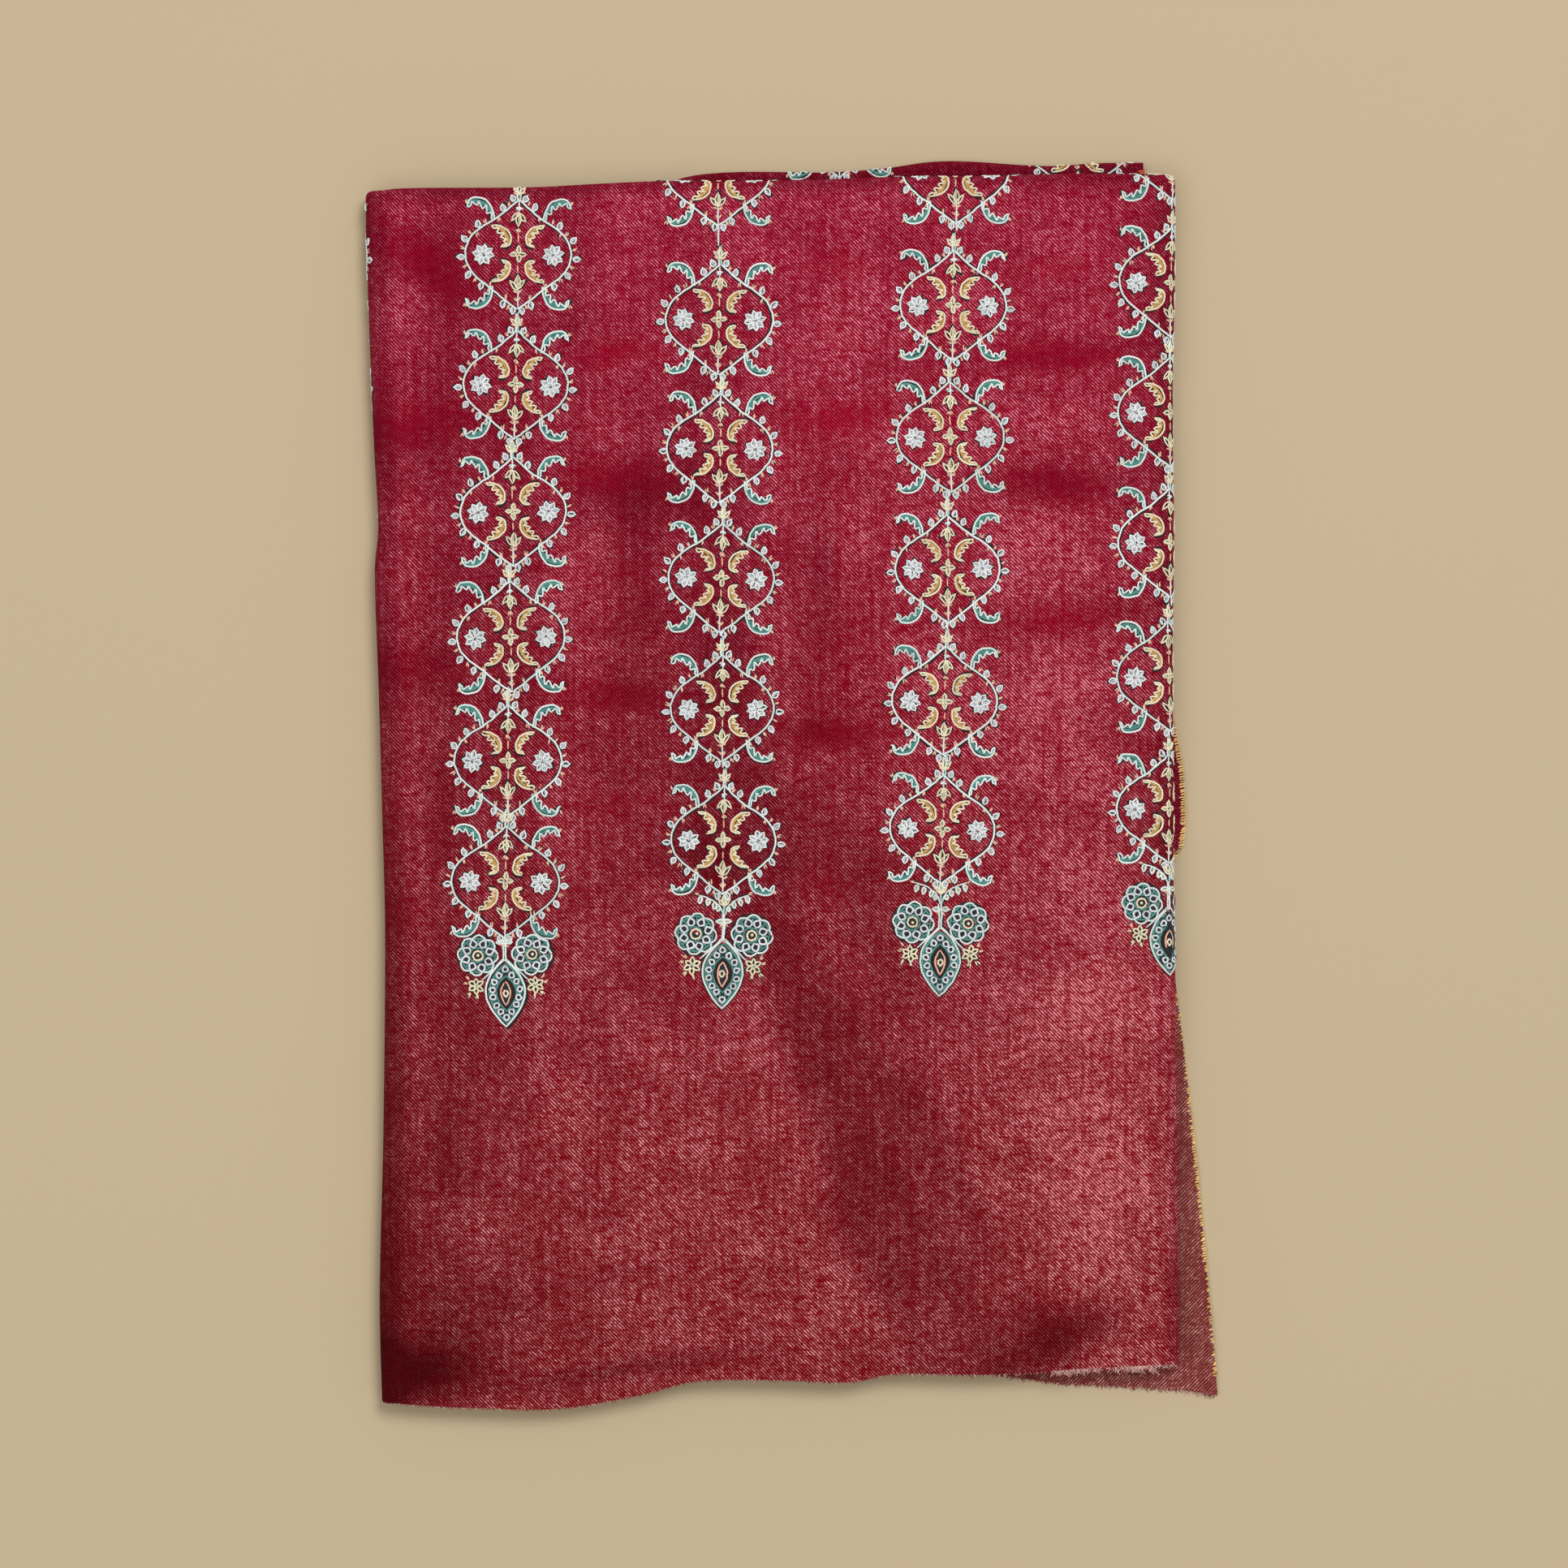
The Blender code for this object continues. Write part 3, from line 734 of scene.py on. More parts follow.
ICE = rgb(238, 248, 244)
AQUA = rgb(176, 222, 212)
TEAL = rgb(78, 146, 136)
GOLD = rgb(204, 158, 90)
STRAW = rgb(248, 238, 200)
CREAM = rgb(250, 236, 204)
PEACH = rgb(248, 196, 168)
LILAC = rgb(238, 238, 243)
MOSS = rgb(204, 204, 166)
HAZE = rgb(202, 198, 208)
# Painted shade: a dark teal ground under the flowers' and almonds' fillings that is darkened as the shade
# between their loops
DEEP_TEAL_SHADE = rgb(20, 32, 33)
# Painted shadow: the dark trace colour, laid wider than the stitches, stands for their shadow on the cloth as
# well as the drawn trace
SHADOW_TRACE_COLOUR = rgb(36, 6, 12)

# A strand lies on the cloth: its points are in millimetres across and along, and its level says
# what it lies on. Dark trace patches of painted shadow lie on the cloth itself, FILLED and
# STITCHED over that, RAISED over both
Strand = namedtuple("Strand", "points width colour level")
SHADOW_TRACE_LEVEL, FILLED, STITCHED, RAISED = range(4)
LINE = 0.85
FINE = 0.66
LOOP_STEPS = 5
TEETH = 5


def smooth(points, steps):
    """A smooth line through given points."""
    points = np.array(points, float)
    padded = np.concatenate([2 * points[:1] - points[1:2], points, 2 * points[-1:] - points[-2:-1]])
    share = (np.arange(steps) / steps)[:, None]
    spans = []
    for before, start, end, after in zip(padded, padded[1:], padded[2:], padded[3:]):
        bend = (2 * before - 5 * start + 4 * end - after) * share**2
        twist = (3 * start - before - 3 * end + after) * share**3
        spans.append(start + 0.5 * ((end - before) * share + bend + twist))
    return np.concatenate([*spans, points[-1:]])


def places_on(points, shares):
    """The places at shares of a line of points."""
    steps = np.linspace(0, 1, len(points))
    return points_of(*(np.interp(shares, steps, points[:, k]) for k in (0, 1)))


def line(points, width, colour, level=STITCHED):
    return Strand(np.array(points, float), width, colour, level)


def straight(start, end, width, colour, steps=2):
    points = blend(np.array(start), np.array(end), np.linspace(0, 1, steps + 1)[:, None])
    return line(points, width, colour, SHADOW_TRACE_LEVEL if colour is SHADOW_TRACE_COLOUR else STITCHED)


def filling(points, width, colour):
    return line(points, width, colour, FILLED)


def shadow_trace(points, width, colour=SHADOW_TRACE_COLOUR):
    """A dark trace mark on the cloth, painted wider and darker as the shadow beside and under the stitches.
    """
    return line(points, width, colour, SHADOW_TRACE_LEVEL)


def raised(strands):
    """The same strands over a filling. Their dark trace patches of painted shadow are left out."""
    return [strand._replace(level=RAISED) for strand in strands if strand.level == STITCHED]


def unit(way):
    return np.array(way, float) / math.hypot(*way)


def left_of(way):
    return np.array([-way[1], way[0]])


def facing(angle):
    return np.array([math.cos(angle), math.sin(angle)])


def leaf(base, tip, wide, colour, width, heart=None):
    """An almond loop over its dark trace patch of painted shadow, with a stitch down its middle where it has
    a heart.
    """
    base, tip = np.array(base, float), np.array(tip, float)
    way = tip - base
    strands = [straight(base - way * 0.06, tip + way * 0.08, wide + 0.4, SHADOW_TRACE_COLOUR)]
    if heart:
        strands.append(filling([base + way * 0.15, base + way * 0.5, base + way * 0.85], wide * 0.5, heart))
    side = left_of(unit(way))
    share = np.arange(LOOP_STEPS + 1)[:, None] / LOOP_STEPS
    bow = side * (np.sin(math.pi * share**0.85) * (wide - width * 0.4) / 2)
    middle = base + way * share
    return strands + [line(np.concatenate([middle + bow, (middle - bow)[::-1][1:]]), width, colour)]


def sprig(base, way, colour, size):
    """A teardrop of two short stitches."""
    base, way = np.array(base, float), unit(way)
    side = left_of(way)
    return [
        straight(base, base + way * size * 1.05, 1.35, SHADOW_TRACE_COLOUR),
        straight(base + side * 0.14, base + way * size + side * 0.32, 0.72, colour),
        straight(base - side * 0.14, base + way * size * 0.85 - side * 0.4, 0.72, colour),
    ]


def twin_sprigs(base, way, colour, size):
    """A sprig on the right of the middle line, then its mirror image on the left."""
    left_base, left_way = (np.array(place) * (-1, 1) for place in (base, way))
    return sprig(base, way, colour, size) + sprig(left_base, left_way, colour, size)


def acanthus(outer, inner, tooth, edge, fill):
    """A curled leaf: a smooth outer edge, a toothed inner one, and filling stitches between."""
    share = np.linspace(0, 1, 13)
    outside, inside = (places_on(smooth(side, 5), share) for side in (outer, inner))
    # The toothed edge steps out to each tooth's tip and halfway in between
    step = np.where(np.arange(TEETH * 2 + 1) % 2, -tooth, 0.5)[:, None]
    step[[0, -1]] = 0
    low, high = (places_on(side, np.linspace(0, 1, len(step))) for side in (inside, outside))
    return [
        shadow_trace(outside * 0.55 + inside * 0.45, 2.9),
        filling((outside * 0.62 + inside * 0.38)[1:-1], 1.15, fill),
        filling((outside * 0.3 + inside * 0.7)[3:-3], 0.9, fill),
        line(smooth(blend(low, high, step), 3), 0.72, edge, RAISED),
        line(outside, LINE, edge),
    ]


def blossom(centre, reach, petals, wide, colour, heart, turn):
    """A star flower of pointed petals."""
    strands = []
    centre = np.array(centre, float)
    for number in range(petals):
        way = facing(math.tau * number / petals + turn)
        strands += leaf(centre + way * reach * 0.16, centre + way * reach, wide, colour, 0.75, heart)
    return strands + [straight(centre - 0.3, centre + 0.3, 0.8, heart or AQUA)]


def bud(height, up, size):
    """Three cream petals that open from one point of the middle line, up (1) or down (-1)."""
    strands = leaf((0, height), (0, height + up * size), size * 0.42, CREAM, FINE, MOSS)
    for hand in (-1, 1):
        tip = (-up * hand * size * 0.54, height + up * size * 0.66)
        strands += leaf((0, height), tip, size * 0.3, CREAM, FINE)
    return strands


# The right-hand vine, a round ogee drawn in towards its two nodes
VINE_LINE = [
    (0, 22.5), (3.4, 19.4), (8.5, 15.1), (14.4, 11.4), (19, 7.4), (21.4, 2.6), (21.6, -1.6),
    (20.2, -5.8), (16.8, -9.7), (12, -13.4), (6.8, -17.6), (2.8, -20.7), (0, -22.5),
]
vine_points = smooth(VINE_LINE, 3)

# Leaves along the vine: share down the vine, hand (1 outside, -1 inside), lean along the vine
# and length. A negative length is a peach sprig
VineLeaf = namedtuple("VineLeaf", "share hand lean length")
VINE_LEAVES = table(
    VineLeaf,
    (0.05, 1, -0.3, 3), (0.085, 1, -0.3, -1.9), (0.13, 1, -0.5, 3.2), (0.235, 1, -0.2, -1.9),
    (0.285, 1, -0.5, 3.2), (0.335, 1, -0.4, -1.9), (0.385, 1, -0.45, 3.3), (0.44, 1, -0.3, -2),
    (0.50, 1, -0.2, 3.3), (0.555, 1, 0.2, -2), (0.605, 1, 0.4, 3.3), (0.66, 1, 0.4, -1.9),
    (0.705, 1, 0.5, 3.1), (0.755, 1, 0.4, -1.8), (0.86, 1, 0.5, 3.2), (0.905, 1, 0.4, -1.9),
    (0.945, 1, 0.5, 3), (0.16, -1, 0.8, -1.9), (0.30, -1, 0.5, -1.8), (0.76, -1, -0.6, -1.9),
    (0.87, -1, -0.9, -2),
)

# The two curled leaves, each by its outer edge and its inner edge
TEAL_LEAF = np.array([
    [(10.2, 13.4), (10.9, 17.6), (13.3, 21.4), (17.2, 22.6), (20.2, 21.8), (21.4, 18.6)],
    [(10.2, 13.4), (12.2, 15.9), (13.9, 18.2), (16.4, 19.8), (19, 20.4), (21.4, 18.6)],
])
GOLD_LEAF = np.array([
    [(10.8, 11.6), (6.8, 11), (4, 8.8), (3, 5.8), (3.8, 3.4), (6.8, 2.6)],
    [(10.8, 11.6), (8.6, 9.7), (7, 8), (5.5, 6), (5, 4.2), (6.8, 2.6)],
])


def ogee_half():
    """The right-hand side of one ogee."""
    strands = [shadow_trace(vine_points + (-0.05, -0.1), 1.5), line(vine_points, LINE, ICE)]
    for row in VINE_LEAVES:
        base = places_on(vine_points, row.share)
        ahead = unit(places_on(vine_points, row.share + 0.01) - base)
        out = left_of(ahead) * row.hand
        if out[0] * row.hand < 0 and abs(out[0]) > 0.2:
            out = -out
        way = unit(out + ahead * row.lean)
        start = base + way * 0.5
        if row.length > 0:
            strands += leaf(start, start + way * row.length, 2.35, ICE, 0.72, HAZE)
        else:
            strands += sprig(start, way, PEACH, -row.length)
    for hand in (1, -1):
        flip = np.array([1, hand])
        strands += acanthus(*TEAL_LEAF * flip, 0.28, ICE, TEAL)
        strands += sprig((21.3, 20.4) * flip, (0.35, hand), PEACH, 1.7)
        strands += acanthus(*GOLD_LEAF * flip, 0.3, CREAM, GOLD)
    return strands + blossom((14.4, -0.4), 4.3, 8, 2.4, ICE, HAZE, 0.2)


def ogee_middle():
    """What stands on the ogee's own centre line, with the link up to the next ogee."""
    petals = []
    for x, y in ((0, 3.5), (0, -3.5), (3.2, 0), (-3.2, 0)):
        petals += leaf((x * 0.1, y * 0.1), (x, y), 1.9, CREAM, 0.7, MOSS)
    return [
        shadow_trace(smooth([(0, 22), (0.1, 25.5), (-0.1, 30.5)], 4), 1.9),
        line(smooth([(0.35, 22), (0.45, 24.5), (0.35, 30)], 4), LINE, AQUA),
        line(smooth([(-0.35, 21.8), (-0.45, 24), (-0.35, 29.5)], 4), LINE, ICE),
        *raised(bud(24.2, 1, 4.8)),
        *twin_sprigs((0.9, 24.4), (0.9, 0.7), PEACH, 1.6),
        straight((0, 22.2), (0, 16.6), FINE, ICE, 4),
        *bud(16.8, -1, 5.6),
        *twin_sprigs((0, 19.2), (0.8, -0.7), ICE, 1.6),
        *sprig((0, 10.3), (0.5, -1), PEACH, 1.8),
        *sprig((0, 10.3), (-0.6, -1), PEACH, 1.6),
        straight((0, 8.3), (0.05, 4.9), FINE, PEACH),
        *petals,
        straight((0, -4.6), (0, -7.6), FINE, PEACH),
        straight((0, -14.4), (0, -22.3), FINE, ICE, 4),
        *bud(-14.6, 1, 6),
        *twin_sprigs((0, -15.8), (0.9, 0.5), PEACH, 2),
        *twin_sprigs((0, -19.4), (0.7, 0.9), PEACH, 1.9),
    ]


FLOWER_REACH = 8.3
FLOWER_LOOPS = 8


def round_flower(centre):
    """A filled round flower: an edge of eight points, eight loops and a ringed heart."""
    centre = np.array(centre, float)
    angle = np.linspace(0, math.tau, 65)
    way = points_of(np.cos(angle), np.sin(angle))
    edge = FLOWER_REACH * (0.87 + 0.14 * np.abs(np.cos(angle * FLOWER_LOOPS / 2 + 0.4)))
    strands = [
        shadow_trace(centre + way * FLOWER_REACH * 0.96, 1.6),
        shadow_trace(centre + way[::4] * FLOWER_REACH * 0.6, FLOWER_REACH * 0.66, DEEP_TEAL_SHADE),
        shadow_trace([centre - (2, 0), centre + (2, 0)], 4.6, DEEP_TEAL_SHADE),
        filling(centre + way[::4] * FLOWER_REACH * 0.87, 0.8, TEAL),
        filling(centre + way[::4] * FLOWER_REACH * 0.38, 0.8, TEAL),
        line(centre + way * edge[:, None], LINE, ICE),
    ]
    for number in range(FLOWER_LOOPS):
        turn = math.tau * (number + 0.4) / FLOWER_LOOPS
        out = facing(turn)
        spoke = facing(turn + math.tau / (2 * FLOWER_LOOPS)) * FLOWER_REACH
        strands.append(filling([centre + spoke * 0.5, centre + spoke * 0.68, centre + spoke * 0.86], 1, TEAL))
        ends = (centre + out * FLOWER_REACH * 0.43, centre + out * FLOWER_REACH * 0.84)
        strands += raised(leaf(*ends, 3.2, LILAC, 0.82))
    ring = line(centre + way[::8] * FLOWER_REACH * 0.25, 0.85, CREAM)
    return strands + raised([ring, straight(centre - (0.3, 0.4), centre + (0.4, 0.5), 1.3, CREAM)])


ALMOND_TOP, ALMOND_BOTTOM, ALMOND_HALF = -10.2, -38.2, 8.2
ALMOND_MIDDLE = (ALMOND_TOP + ALMOND_BOTTOM) / 2
ALMOND_PLACES = 28


def almond_line(part, wide=1):
    """The pointed outline of the end almond, shrunk to a part of its size."""
    share = np.linspace(0, 1, 15)
    bow = np.sin(math.pi * share**0.92) ** 0.9 * (ALMOND_HALF * wide) * part
    along = ALMOND_MIDDLE + (ALMOND_TOP - ALMOND_MIDDLE) * part * (1 - 2 * share)
    right = points_of(bow, along)
    return np.concatenate([right, (right * (-1, 1))[::-1][1:]])


def almond():
    """The hanging almond: a dark teal ground with painted shade, teal fillings, lines round a lens and a ring
    of loops.
    """
    strands = [
        shadow_trace(almond_line(1.03), 1.3),
        shadow_trace(almond_line(0.62), 6, DEEP_TEAL_SHADE),
        shadow_trace([(0, ALMOND_TOP - 1.6), (0, ALMOND_TOP - 5)], 4.2, DEEP_TEAL_SHADE),
        shadow_trace([(0, ALMOND_BOTTOM + 1.6), (0, ALMOND_BOTTOM + 5)], 4.2, DEEP_TEAL_SHADE),
        shadow_trace([(0, ALMOND_MIDDLE - 4.6), (0, ALMOND_MIDDLE + 4.6)], 4.2, DEEP_TEAL_SHADE),
        filling(almond_line(0.89), 0.95, TEAL),
        filling(almond_line(0.53), 0.95, TEAL),
        filling(almond_line(0.44, 0.85), 1.3, SHADOW_TRACE_COLOUR),
        line(almond_line(0.36, 0.68), 0.7, PEACH),
        line(almond_line(0.1, 1.2), 0.8, CREAM),
        line(almond_line(1), LINE, ICE),
    ]
    band = almond_line(0.71)
    run = np.concatenate([[0], np.cumsum(np.linalg.norm(np.diff(band, axis=0), axis=1))])
    for number in range(ALMOND_PLACES):
        place = run[-1] * number / ALMOND_PLACES
        at = np.array([np.interp(place, run, band[:, k]) for k in (0, 1)])
        out = unit(at - (0, ALMOND_MIDDLE))
        if number % 2:
            strands.append(filling([at - out * 1.1, at, at + out * 1.1], 0.8, TEAL))
        else:
            strands += raised(leaf(at - out * 1.3, at + out * 1.3, 2.5, LILAC, 0.74))
    return strands


def end_motif():
    """Two round flowers over a hanging almond, measured from the stem's top."""
    stem = smooth([(0, 0), (0.3, -4.5), (0.1, -10.6)], 4)
    strands = [shadow_trace(stem, 1.7), line(stem, LINE, ICE), line(stem - (0.7, 0), FINE, ICE)]
    for hand in (-1, 1):
        strands += leaf((0.2 * hand, -2.4), (3.4 * hand, -2.6), 1.9, ICE, 0.75, MOSS)
        strands += sprig((0.3 * hand, -3.4), (0.8 * hand, -1), PEACH, 1.9)
    for hand in (-1, 1):
        strands += round_flower((11.4 * hand, -8))
        arm = smooth([(0.3 * hand, -9.3), (4.6 * hand, -13.8), (9.6 * hand, -18.4)], 4)
        strands += [shadow_trace(arm, 1.5), line(arm, FINE, ICE)]
        star = np.array((12.4 * hand, -20.8))
        strands += blossom(star, 3.5, 6, 2, STRAW, None, 0.5)
        for across, up, colour in ((1, 0.3, PEACH), (0.7, -0.8, STRAW), (-0.1, -1, STRAW), (0.8, 0.9, PEACH)):
            out = np.array((across * hand, up))
            strands += sprig(star + out * 3.4, out, colour, 1.9)
    return strands + almond()


def end_sprays():
    """The stem from the last ogee to the end motif, with two curved sprays of hanging leaves."""
    stem = smooth([(0, 8.3), (0.2, 4), (0, 0)], 4)
    strands = [shadow_trace(stem, 1.6), line(stem, LINE, AQUA)]
    strands += raised(bud(3.6, 1, 4.6))
    for hand in (-1, 1):
        spray = smooth([(0.2 * hand, -0.6), (1.8 * hand, 3.4), (5.4 * hand, 6.4), (10.4 * hand, 8.2)], 5)
        strands += [shadow_trace(spray, 1.3), line(spray, FINE, ICE)]
        for at, long in ((5, 2), (8, 2.8), (11, 3), (14, 3.2)):
            strands += leaf(spray[at], spray[at] + (0.7 * hand, -long), 1.9, ICE, 0.75, MOSS)
        strands += sprig(spray[-1], (1 * hand, 0.5), PEACH, 1.7)
    return strands


class Yarns:
    """Strands gathered into one mesh of low, rounded threads that lie on a cloth."""

    def __init__(self, seed):
        self.random = np.random.default_rng(seed)
        self.strands = []

    def work(self, strands, centre, keep, turn=0):
        """Places a motif's strands on the cloth, each a little off, as a hand puts them."""
        swing = math.radians(turn + self.random.normal(0, 0.9))
        size = 1 + self.random.normal(0, 0.012)
        for strand in strands:
            shade = 1 + self.random.normal(0, 0.07)
            shift = self.random.normal(0, 0.14, 2)
            points = strand.points * size + self.random.normal(0, 0.08, strand.points.shape)
            x = points[:, 0] * math.cos(swing) - points[:, 1] * math.sin(swing)
            y = points[:, 0] * math.sin(swing) + points[:, 1] * math.cos(swing)
            points = points_of(x, y) + shift + centre
            if strand.level == SHADOW_TRACE_LEVEL:
                points = points + self.random.normal(0, 0.14, 2)
            kept = keep(points[:, 0], points[:, 1])
            colour = tuple(min(c * shade, 1) for c in strand.colour[:3]) + (1,)
            # Where the cloth folds out of sight the strand is cut, and each rest stays
            start = 0
            for stop in (*np.flatnonzero(~kept), len(points)):
                if stop - start > 1:
                    self.strands.append(strand._replace(points=points[start:stop], colour=colour))
                start = stop + 1

    def sew(self, name, place, material):
        """Builds the mesh of all the strands on the cloth."""
        lines, wide, tone, level = zip(*self.strands)
        counts = np.array([len(points) for points in lines])
        level, wide, tone = (np.repeat(values, counts, axis=0) for values in (level, wide, tone))
        x, y = np.concatenate(lines).T
        here = place(x, y)
        outward = np.cross(place(x + 0.05, y) - here, place(x, y + 0.05) - here)
        lift = np.array(LEVEL_LIFT)[level]
        height = np.where(level == SHADOW_TRACE_LEVEL, SHADOW_TRACE_RISE, wide * np.array(LEVEL_RISE)[level])
        return thread_mesh(name, here, outward, counts, wide, height, lift, tone, material)


# A thread's cross-section: shares of its width and height
THREAD_SHAPE = np.array([(-0.5, 0), (-0.36, 0.72), (0, 1), (0.36, 0.72), (0.5, 0)])
SHADOW_TRACE_RISE = 0.1

# For each level, how far a strand's foot is over the cloth, and its height as a share of its width
LEVEL_LIFT = (0.05, 0.06, 0.03, 0.24)
LEVEL_RISE = (0, 0.22, 0.42, 0.42)


def thread_mesh(name, here, outward, counts, wide, height, lift, tone, material):
    """A mesh of threads along lines of points, each given its outward way, width and height."""
    ends = np.cumsum(counts)
    starts = ends - counts
    index = np.arange(len(here))
    first, last = np.isin(index, starts), np.isin(index, ends - 1)
    behind = here[index - ~first]
    way = here[index + ~last] - behind
    way = way / np.maximum(np.linalg.norm(way, axis=1), 1e-6)[:, None]
    side = np.cross(way, outward)
    side = side / np.maximum(np.linalg.norm(side, axis=1), 1e-9)[:, None]
    rise = np.cross(side, way)
    taper = np.where(first | last, 0.6, 1)
    corners = (
        here[:, None]
        + side[:, None] * (THREAD_SHAPE[None, :, :1] * (wide * taper)[:, None, None])
        + rise[:, None] * (THREAD_SHAPE[None, :, 1:] * (height * taper)[:, None, None] + lift[:, None, None])
    )
    corners[..., 2] = np.maximum(corners[..., 2], 0)
    sides = len(THREAD_SHAPE)
    ring = index[~last][:, None] * sides
    turn = np.arange(sides)
    after = (turn + 1) % sides
    quads = points_of(ring + turn, ring + sides + turn, ring + sides + after, ring + after)
    caps = [list(range(low, low + sides)) for low in starts * sides]
    caps += [list(range(high - 1, high - sides - 1, -1)) for high in ends * sides]
    piece = new_piece(name, corners.reshape(-1, 3), quads.reshape(-1, 4).tolist() + caps, 75)
    colour = piece.data.color_attributes.new(name="thread", type="FLOAT_COLOR", domain="POINT")
    colour.data.foreach_set("color", np.repeat(tone, sides, axis=0).astype(np.float32).ravel())
    step = np.linalg.norm(here - behind, axis=1)
    run = np.cumsum(step)
    run = run - np.repeat(run[starts], counts)
    # The UV map says how far along and round its thread a point is
    set_uv(piece.data, "thread_run", points_of(np.repeat(run, sides), np.tile(turn / sides, len(here))))
    piece.data.materials.append(material)
    return piece


STITCH = 1.15


def thread_finish(name, roughness, shine, sheen, depth):
    """Thread in its own colour, with painted shade in the gap between one stitch and the next."""
    finish = Finish(name, roughness, shine, sheen)
    along_thread, round_thread = finish.mapped("thread_run")
    stitch = (along_thread / STITCH + round_thread * 0.8).wave()
    fibre = finish.noise(round_thread * 16, along_thread * 0.9 + round_thread * 3)
    shade = (0.72 + 0.3 * stitch + 0.2 * fibre).clamped()
    own = finish.attribute("thread", "Color")
    finish.paint(finish.mix(shade, rgb(60, 22, 28), own))
    finish.bump(stitch + fibre * 0.5, depth, 0.5)
    return finish.material


silk = thread_finish("embroidery_silk", 0.62, 0.3, 0.1, 0.0003)

# One row for each stripe: its middle (x at the top and at the foot), its ogees' heights, and the
# last ogee's node, below which the end motif hangs
Stripe = namedtuple("Stripe", "name top foot ogees node")
STRIPES = table(
    Stripe,
    ("left", -197.5, -204, (217.5, 163.8, 111.8, 60.2, 9.5, -40.2), -62),
    ("one", -112, -118.7, (217.5, 163.8, 111.8, 60.2, 9.5, -40.2), -62.6),
    ("two", -30.3, -27.7, (251.4, 190.8, 137.8, 84.5, 30.8, -23.2), -54),
    ("three", 67, 60.3, (252.8, 196.5, 142.5, 88.5, 33.8, -18.5), -49.2),
    ("four", 156.3, 154.6, (262.4, 205.8, 152.8, 99.2, 44.2, -10.2), -41),
)
STRIPE_TOP, STRIPE_FOOT = 240, -90

# The stripes are sewn this far round a side fold, in radians, and past a top fold, in its radii
SEEN_TURN = 2.2
SEEN_ROLL = 1.9


def on_front(s, t):
    """Whether a place of the front cloth is one that still shows."""
    x = np.clip(s, left_edge(t) + LEFT_RADIUS, right_edge(t) - RIGHT_RADIUS)
    turned = np.where(s < x, (x - s) / LEFT_RADIUS, (s - x) / RIGHT_RADIUS)
    over = t - top_edge(x) + TOP_RADIUS
    return (turned < SEEN_TURN) & (over < TOP_RADIUS * SEEN_ROLL)


half = ogee_half()
other_half = [strand._replace(points=strand.points * (-1, 1)) for strand in half]
whole_ogee = half + other_half + ogee_middle()
for number, stripe in enumerate(STRIPES):
    yarns = Yarns(40 + number)

    def place_at(y):
        """The stripe's own middle at a height."""
        return stripe.top + (stripe.foot - stripe.top) * (STRIPE_TOP - y) / (STRIPE_TOP - STRIPE_FOOT), y

    for height, below in zip(stripe.ogees, stripe.ogees[1:] + (None,)):
        yarns.work(whole_ogee, place_at(height), on_front)
        if below:
            link = straight((0, -21.6), (0, below + 29.8 - height), LINE, ICE, 4)
            yarns.work([link], place_at(height), on_front)
    yarns.work(end_motif(), place_at(stripe.node), on_front)
    if stripe.name != "one":
        yarns.work(end_sprays(), place_at(stripe.node), on_front)
    piece = yarns.sew("embroidery_" + stripe.name, front_place, silk)
    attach(piece, "root")

# Embroidery on the rear fold
# The same stripes go on over the folded layers behind, upside down, and show as a narrow line of
# leaves past the top fold.

# Sewn this far below the rear fold, this far round it in its radii, and clear of the selvedge
REAR_SEWN = 16
REAR_ROLL = 1.8
REAR_BORDER = 1.5


def on_rear(s, t):
    """Whether a place of the rear layer is near its fold and clear of its selvedge."""
    past = t - (rear_edge(s) - REAR_RADIUS)
    return (past > -REAR_SEWN) & (past < REAR_RADIUS * REAR_ROLL) & (s < rear_selvedge(t) - REAR_BORDER)


rear_yarns = Yarns(61)
for middle, height in ((118, 264), (19, 272.6)):
    rear_yarns.work(whole_ogee, (middle, height), on_rear, 180)
rear_stripes = rear_yarns.sew("embroidery_rear", rear_place, silk)
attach(rear_stripes, "root")

# Selvedges
# Both long edges of the shawl are overcast by hand with gold thread, a stitch about every
# millimetre, and the thread ends in a small orange knot at the rear fold's corner.
SELVEDGE_GOLD = rgb(236, 196, 124)
SELVEDGE_KNOT = rgb(228, 112, 62)
OVERCAST_STEP = 1.05
OVERCAST_IN = 1.6
OVERCAST_WIDTH = 0.74
OVERCAST_SLANT = 1.3
OVERCAST_POINTS = 9


def short_threads(name, points, outward, tones, width, height, material):
    """A piece of many short threads of one width, each with its own tone."""
    counts = np.full(len(points), len(points[0]))
    tone = np.repeat(np.clip(tones, 0, 1), counts, axis=0)
    tone[:, 3] = 1
    here = np.concatenate(points)
    flat = np.zeros(len(here))
    return thread_mesh(name, here, outward, counts, flat + width, flat + height, flat, tone, material)


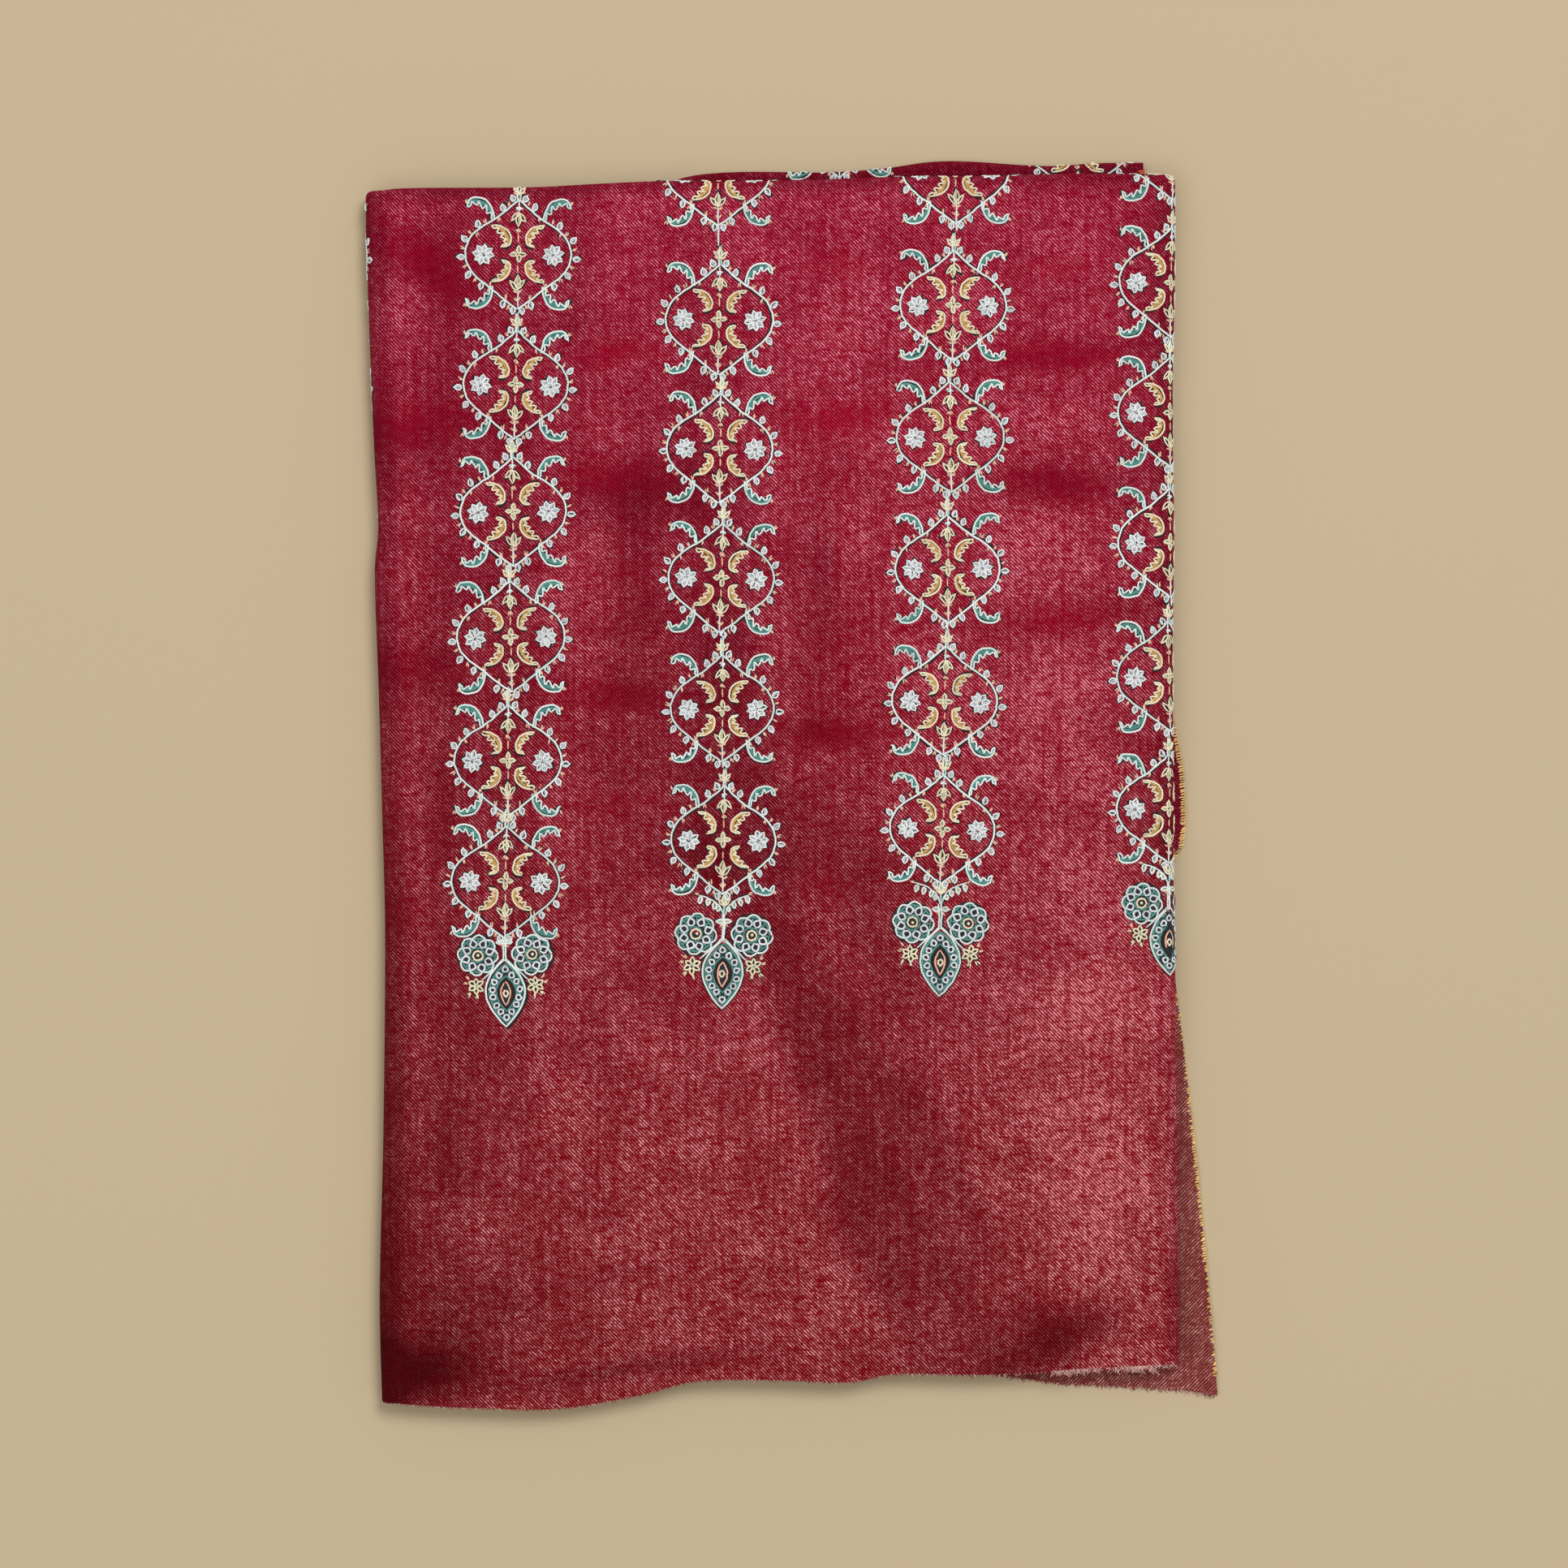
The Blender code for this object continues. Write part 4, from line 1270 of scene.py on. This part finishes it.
def overcast(name, start, end, edge, place, wall, inward=OVERCAST_IN, knot=0, worn=None):
    """Stitches over an edge that runs along Y, from its upper side round to its underside."""
    random = np.random.default_rng(17)
    heights = np.arange(start, end, OVERCAST_STEP)
    heights = heights + random.normal(0, 0.12, len(heights))
    if worn:
        heights = heights[random.random(len(heights)) < np.interp(heights, *zip(*worn))]
    arc = np.linspace(0, 1, OVERCAST_POINTS)
    turn = math.pi * arc
    bow = np.sin(turn) * (wall / 2 + 0.12)
    underside = np.where(arc < 0.5, 1, 0.6)
    points, tones = [], []
    for y in heights:
        reach = inward + random.normal(0, 0.25)
        out_by = 0.3 + abs(random.normal(0, 0.12))
        x = edge(y)
        top = place(np.array(x - 0.4), np.array(y))[2]
        px = x + np.minimum(bow + out_by - 0.35, out_by) - reach * np.abs(np.cos(turn)) ** 3 * underside
        py = y + (arc - 0.5) * OVERCAST_SLANT + random.normal(0, 0.05, OVERCAST_POINTS)
        pz = top - wall / 2 + np.cos(turn) * (wall / 2 + 0.05)
        # The underside's stitches stay over the table
        points.append(points_of(px, py, np.maximum(pz, top - wall + 0.12)))
        tone = np.array(SELVEDGE_KNOT if random.random() < knot else SELVEDGE_GOLD)
        tones.append(tone * (1 + random.normal(0, 0.16)))
    outward = np.tile(points_of(np.sin(turn), 0 * turn, np.cos(turn)), (len(points), 1))
    height = np.where(outward[:, 2] < -0.3, 0.1, OVERCAST_WIDTH * 0.45)
    piece = short_threads(name, points, outward, tones, OVERCAST_WIDTH, height, gold_thread)
    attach(piece, "root")
    return piece


gold_thread = thread_finish("selvedge_gold", 0.55, 0.35, 0.05, 0.0002)

# Where the back panel's thread has worn off: a height and the share of stitches that are left
WORN = ((-252, 0.6), (-182, 0.6), (-176, 1), (-146, 1), (-140, 0.6), (-84, 0.35))
back_overcast = overcast("selvedge_back", -251.5, -84, back_selvedge, back_place, SOLID_WALL, 1, worn=WORN)
rear_overcast = overcast("selvedge_rear", -45, 52, rear_selvedge, rear_place, CLOTH)
corner_overcast = overcast("selvedge_corner", 243, 254, rear_selvedge, rear_place, CLOTH, knot=0.5)

# Raw hems
# The shawl's two short ends are cut between picks with no fringe, so short red and pale warp ends
# stand out of the edge, thicker where the weft has frayed away.

# One row for each stretch: from and to along X, threads for each millimetre, length, share of pale
Fray = namedtuple("Fray", "start end dense length pale")
FRONT_FRAYS = table(
    Fray,
    (-170, 40, 1.5, 0.6, 0.2), (40, 107, 1.7, 0.8, 0.3), (107, 123, 6, 1.7, 0.8),
    (123, 133, 4, 1.3, 0.6), (133, 147, 6.5, 2, 0.85), (147, 157, 4, 1.3, 0.6),
)
BACK_FRAYS = [Fray(70, 140, 2.4, 0.8, 0.4), Fray(140, 175.5, 3, 1.1, 0.5)]
LAYER_FRAYS = [Fray(-160, 146, 1, 1.6, 0.2)]
WARP_RED = rgb(150, 16, 36)
WARP_PALE = rgb(222, 180, 172)
END_WIDTH = 0.26
END_POINTS = 5
THICK_FRAY = 3.5


wool_ends = thread_finish("wool_ends", 0.9, 0.08, 0.05, 0.0001)


def warp_ends(name, frays, edge, place, seed, level_at=None):
    """Short thread ends that leave a raw hem downwards, each bent a little its own way."""
    random = np.random.default_rng(seed)
    points, tones = [], []
    for fray in frays:
        for x in np.arange(fray.start, fray.end, 1 / fray.dense):
            x = x + random.normal(0, 0.2)
            length = max(fray.length * (1 + random.normal(0, 0.45)), 0.3)
            lean = random.normal(0, 0.5 + 0.8 * (fray.dense > THICK_FRAY))
            share = np.linspace(-0.45, 1, END_POINTS)
            px = x + share * lean * length * 0.6 + share**2 * random.normal(0, 0.5)
            y = edge(x)
            if level_at is None:
                pz = place(np.array(x), np.array(y + 0.6))[2] - 0.45
            else:
                pz = level_at(random)
            pz = pz + share * random.normal(0, 0.25)
            points.append(points_of(px, y - share * length, np.maximum(pz, 0.05)))
            tone = np.array(WARP_PALE if random.random() < fray.pale else WARP_RED)
            tones.append(tone * (1 + random.normal(0, 0.2)))
    outward = np.tile((0, 0, 1), (END_POINTS * len(points), 1))
    piece = short_threads(name, points, outward, tones, END_WIDTH, END_WIDTH * 0.8, wool_ends)
    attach(piece, "root")
    return piece


front_ends = warp_ends("hem_ends_front", FRONT_FRAYS, hem_edge, front_place, 71)
back_ends = warp_ends("hem_ends_back", BACK_FRAYS, back_hem, back_place, 72)


def fold_level(random):
    return HIDDEN_LOW + layer_step * (random.integers(0, len(HIDDEN_FOLDS)) + 0.5)


def inner_hem(x):
    return hem_edge(x) + 5.2


warp_ends("hem_ends_layers", LAYER_FRAYS, inner_hem, front_place, 73, fold_level)

# Floor, lights and camera
# A plain tan floor under soft light from one side, and a camera straight above the packet, so high
# that its picture is as wide as the photograph's.
PHOTO_WIDTH = 644
PHOTO_CENTRE = (-3.3, -0.2)
LENS = 100
SENSOR = 36

bpy.ops.object.select_all(action="DESELECT")
bpy.ops.mesh.primitive_plane_add(size=8, location=(0, 0, 0))
floor = bpy.context.object
floor.name = floor.data.name = "floor"
plain = Finish("plain_floor", 0.95, 0.1)
plain.paint(rgb(200, 181, 149))
floor.data.materials.append(plain.material)


def soft_light(name, place, size, power):
    """A round lamp that points at the middle of the floor."""
    bpy.ops.object.light_add(type="AREA", location=place)
    lamp = bpy.context.object
    lamp.name = lamp.data.name = name
    lamp.data.shape = "DISK"
    lamp.data.size = size
    lamp.data.energy = power
    lamp.visible_camera = False
    lamp.rotation_mode = "QUATERNION"
    lamp.rotation_quaternion = Vector(place).to_track_quat("Z", "Y")


soft_light("window", (1.3, 1.9, 3.7), 1.9, 97)
soft_light("room", (-1.2, -0.6, 2.6), 2.6, 19)

world = bpy.data.worlds.new("even_light")
bpy.context.scene.world = world
world.use_nodes = True
world.node_tree.nodes["Background"].inputs["Color"].default_value = (1, 0.985, 0.96, 1)
world.node_tree.nodes["Background"].inputs["Strength"].default_value = 0.42

bpy.ops.object.camera_add()
camera = bpy.context.object
camera.data.lens = LENS
camera.data.sensor_width = SENSOR
camera.location = (PHOTO_CENTRE[0] * MM, PHOTO_CENTRE[1] * MM, (PHOTO_WIDTH * LENS / SENSOR + PANEL_TOP) * MM)
camera.rotation_euler = (0, 0, 0)
camera.data.clip_start = 0.05
camera.data.clip_end = 50
bpy.context.scene.camera = camera
bpy.context.scene.view_settings.view_transform = "Standard"
